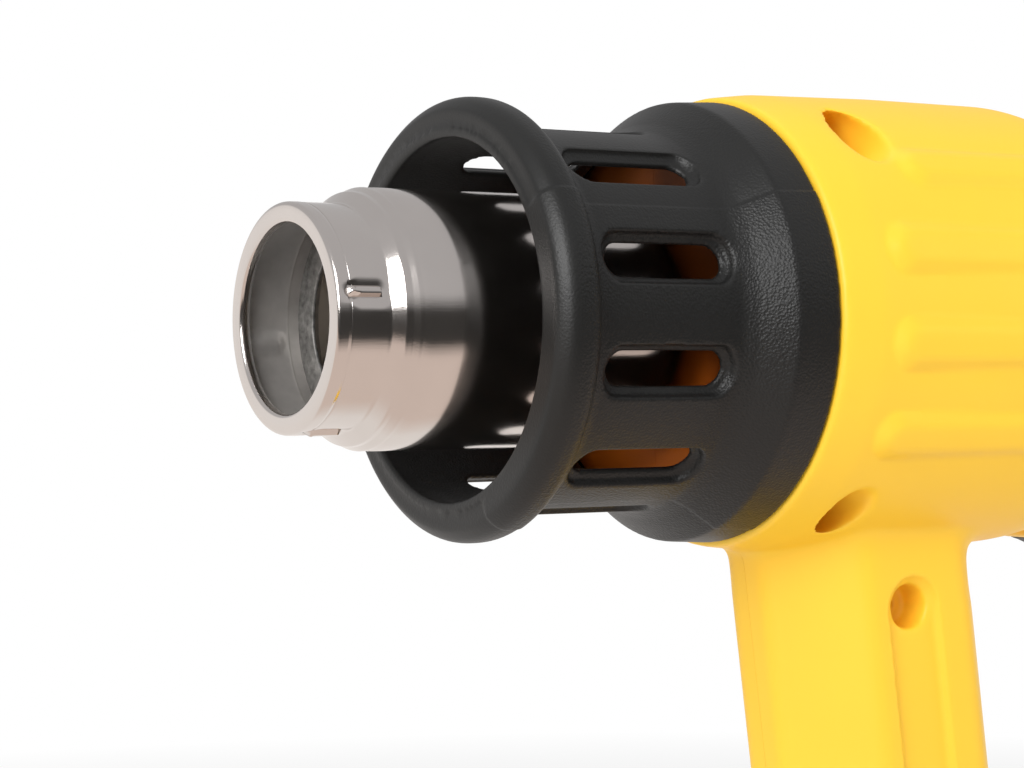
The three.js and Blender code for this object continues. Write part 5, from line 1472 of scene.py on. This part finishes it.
class HOTAIR_OT_switch(bpy.types.Operator):
    """Three position rocker switch in the handle's back"""
    bl_idname = "hotair.switch"
    bl_label = "Rocker Switch"

    def execute(self, context):
        c, h = sizes(context, "control_sizes"), sizes(context, "handle_sizes")
        colours = context.scene.tool_colours
        black = plain_finish("matt_black_switch", tinted(colours.black, 1.6), 0.5, grain=2.6, depth=0.015)
        red = plain_finish(
            "red_rocker_plastic", colours.rocker, 0.3, grain=1.8, depth=0.006, variation=0.06)
        white = plain_finish("white_rocker_print", colours.print_white, 0.5, grain=3.0, depth=0.004)
        finish_piece(switch_body(c, h), ["switch_body"], black, edge_angle=50)
        finish_piece(switch_rocker(c, h), ["switch_rocker"], red, edge_angle=60)
        finish_mark(rocker_marks(c, h), "rocker", white)
        return {"FINISHED"}


class HOTAIR_OT_gland(bpy.types.Operator):
    """Rubber cord gland in the handle's base"""
    bl_idname = "hotair.gland"
    bl_label = "Cord Gland"

    def execute(self, context):
        colour = context.scene.tool_colours.rubber
        rubber = plain_finish("soft_black_rubber", colour, 0.8, grain=1.4, depth=0.03)
        finish_piece(cord_gland(sizes(context, "control_sizes")), ["cord_gland"], rubber)
        return {"FINISHED"}


class HOTAIR_OT_screws(bpy.types.Operator):
    """The screws that close the housing"""
    bl_idname = "hotair.screws"
    bl_label = "Housing Screws"

    def execute(self, context):
        finish = plain_finish("zinc_plated_screw", (0.55, 0.56, 0.55), 0.32, 1.0, grain=2.0, depth=0.01)
        start, end = reach_of("housing_screw_grip_top", 1)
        first = housing_screw(sizes(context, "control_sizes"), start, end)
        for node, place in SCREWS.items():
            screw = copy_of(first, "fitted_" + node)
            move_by(screw, Matrix.Translation(Vector((place.x, 0, place.z)) * MM))
            finish_piece(screw, [node], finish, edge_angle=40)
        bpy.data.objects.remove(first)
        return {"FINISHED"}


# Finishes of the inner pieces, which keep their CAD shape: colour, roughness, metallic, grain, its depth
INNER_FINISHES = {
    "inner_steel": ((0.52, 0.52, 0.52), 0.34, 1.0, 1.2, 0.012),
    "mica": ((0.5, 0.45, 0.38), 0.42, 0.0, 0.7, 0.06),
    "ceramic": ((0.76, 0.71, 0.62), 0.75, 0.0, 1.8, 0.05),
    "heating_wire": ((0.2, 0.16, 0.13), 0.45, 0.85, 2.5, 0.02),
    "dark_nylon": ((0.03, 0.033, 0.036), 0.5, 0.0, 2.0, 0.03),
    "magnet": ((0.09, 0.09, 0.09), 0.6, 0.3, 2.4, 0.04),
    "board_laminate": ((0.02, 0.16, 0.06), 0.32, 0.0, 0.9, 0.02),
    "component_black": ((0.022, 0.022, 0.024), 0.4, 0.0, 2.6, 0.02),
    "heat_sink_aluminium": ((0.66, 0.67, 0.68), 0.36, 1.0, 1.5, 0.02),
    "spindle_nylon": ((0.72, 0.7, 0.64), 0.5, 0.0, 1.6, 0.02),
    "screw_steel": ((0.55, 0.56, 0.55), 0.32, 1.0, 2.0, 0.01),
    "lead_red": ((0.42, 0.02, 0.014), 0.5, 0.0, 1.5, 0.02),
    "lead_blue": ((0.015, 0.05, 0.3), 0.5, 0.0, 1.5, 0.02),
    "lead_black": ((0.02, 0.02, 0.02), 0.55, 0.0, 1.5, 0.02),
    "polished_steel": ((0.6, 0.58, 0.56), 0.25, 1.0, 1.0, 0.01),
    "black_plastic": ((0.012, 0.012, 0.012), 0.5, 0.0, 2.0, 0.03),
}


class HOTAIR_OT_inner(bpy.types.Operator):
    """Finishes of the heater, the motor, the board and the leads"""
    bl_idname = "hotair.inner"
    bl_label = "Inner Pieces"

    def execute(self, context):
        made = {}
        for node, held in frame["nodes"].items():
            slot = SLOT_OF[node]
            if slot not in INNER_FINISHES:
                continue
            if slot not in made:
                colour, roughness, metallic, grain, depth = INNER_FINISHES[slot]
                made[slot] = plain_finish("inner_" + slot, colour, roughness, metallic, grain, depth)
            for place in held.material_slots:
                place.material = made[slot]
        return {"FINISHED"}


class HOTAIR_PT_panel(bpy.types.Panel):
    """Buttons for each group of pieces"""
    bl_label = "Hot Air Tool"
    bl_space_type = "VIEW_3D"
    bl_region_type = "UI"
    bl_category = "Hot Air Tool"

    def draw(self, context):
        for group in GROUPS:
            box_layout = self.layout.box()
            held = getattr(context.scene, group)
            for prop in held.bl_rna.properties:
                if prop.identifier not in NO_SIZES:
                    box_layout.prop(held, prop.identifier)
        for operator in OPERATORS:
            self.layout.operator(operator.bl_idname)


OPERATORS = (
    HOTAIR_OT_stage, HOTAIR_OT_nozzle, HOTAIR_OT_guard, HOTAIR_OT_housing, HOTAIR_OT_rear_cap,
    HOTAIR_OT_dial, HOTAIR_OT_switch, HOTAIR_OT_gland, HOTAIR_OT_screws, HOTAIR_OT_inner)
CLASSES = (*GROUPS.values(), *OPERATORS, HOTAIR_PT_panel)


def register():
    for made in CLASSES:
        bpy.utils.register_class(made)
    for name, group in GROUPS.items():
        setattr(bpy.types.Scene, name, PointerProperty(type=group))


def unregister():
    for name in GROUPS:
        delattr(bpy.types.Scene, name)
    for made in reversed(CLASSES):
        bpy.utils.unregister_class(made)


def main():
    register()
    for operator in OPERATORS:
        group, name = operator.bl_idname.split(".")
        getattr(getattr(bpy.ops, group), name)()


if __name__ == "__main__":
    main()
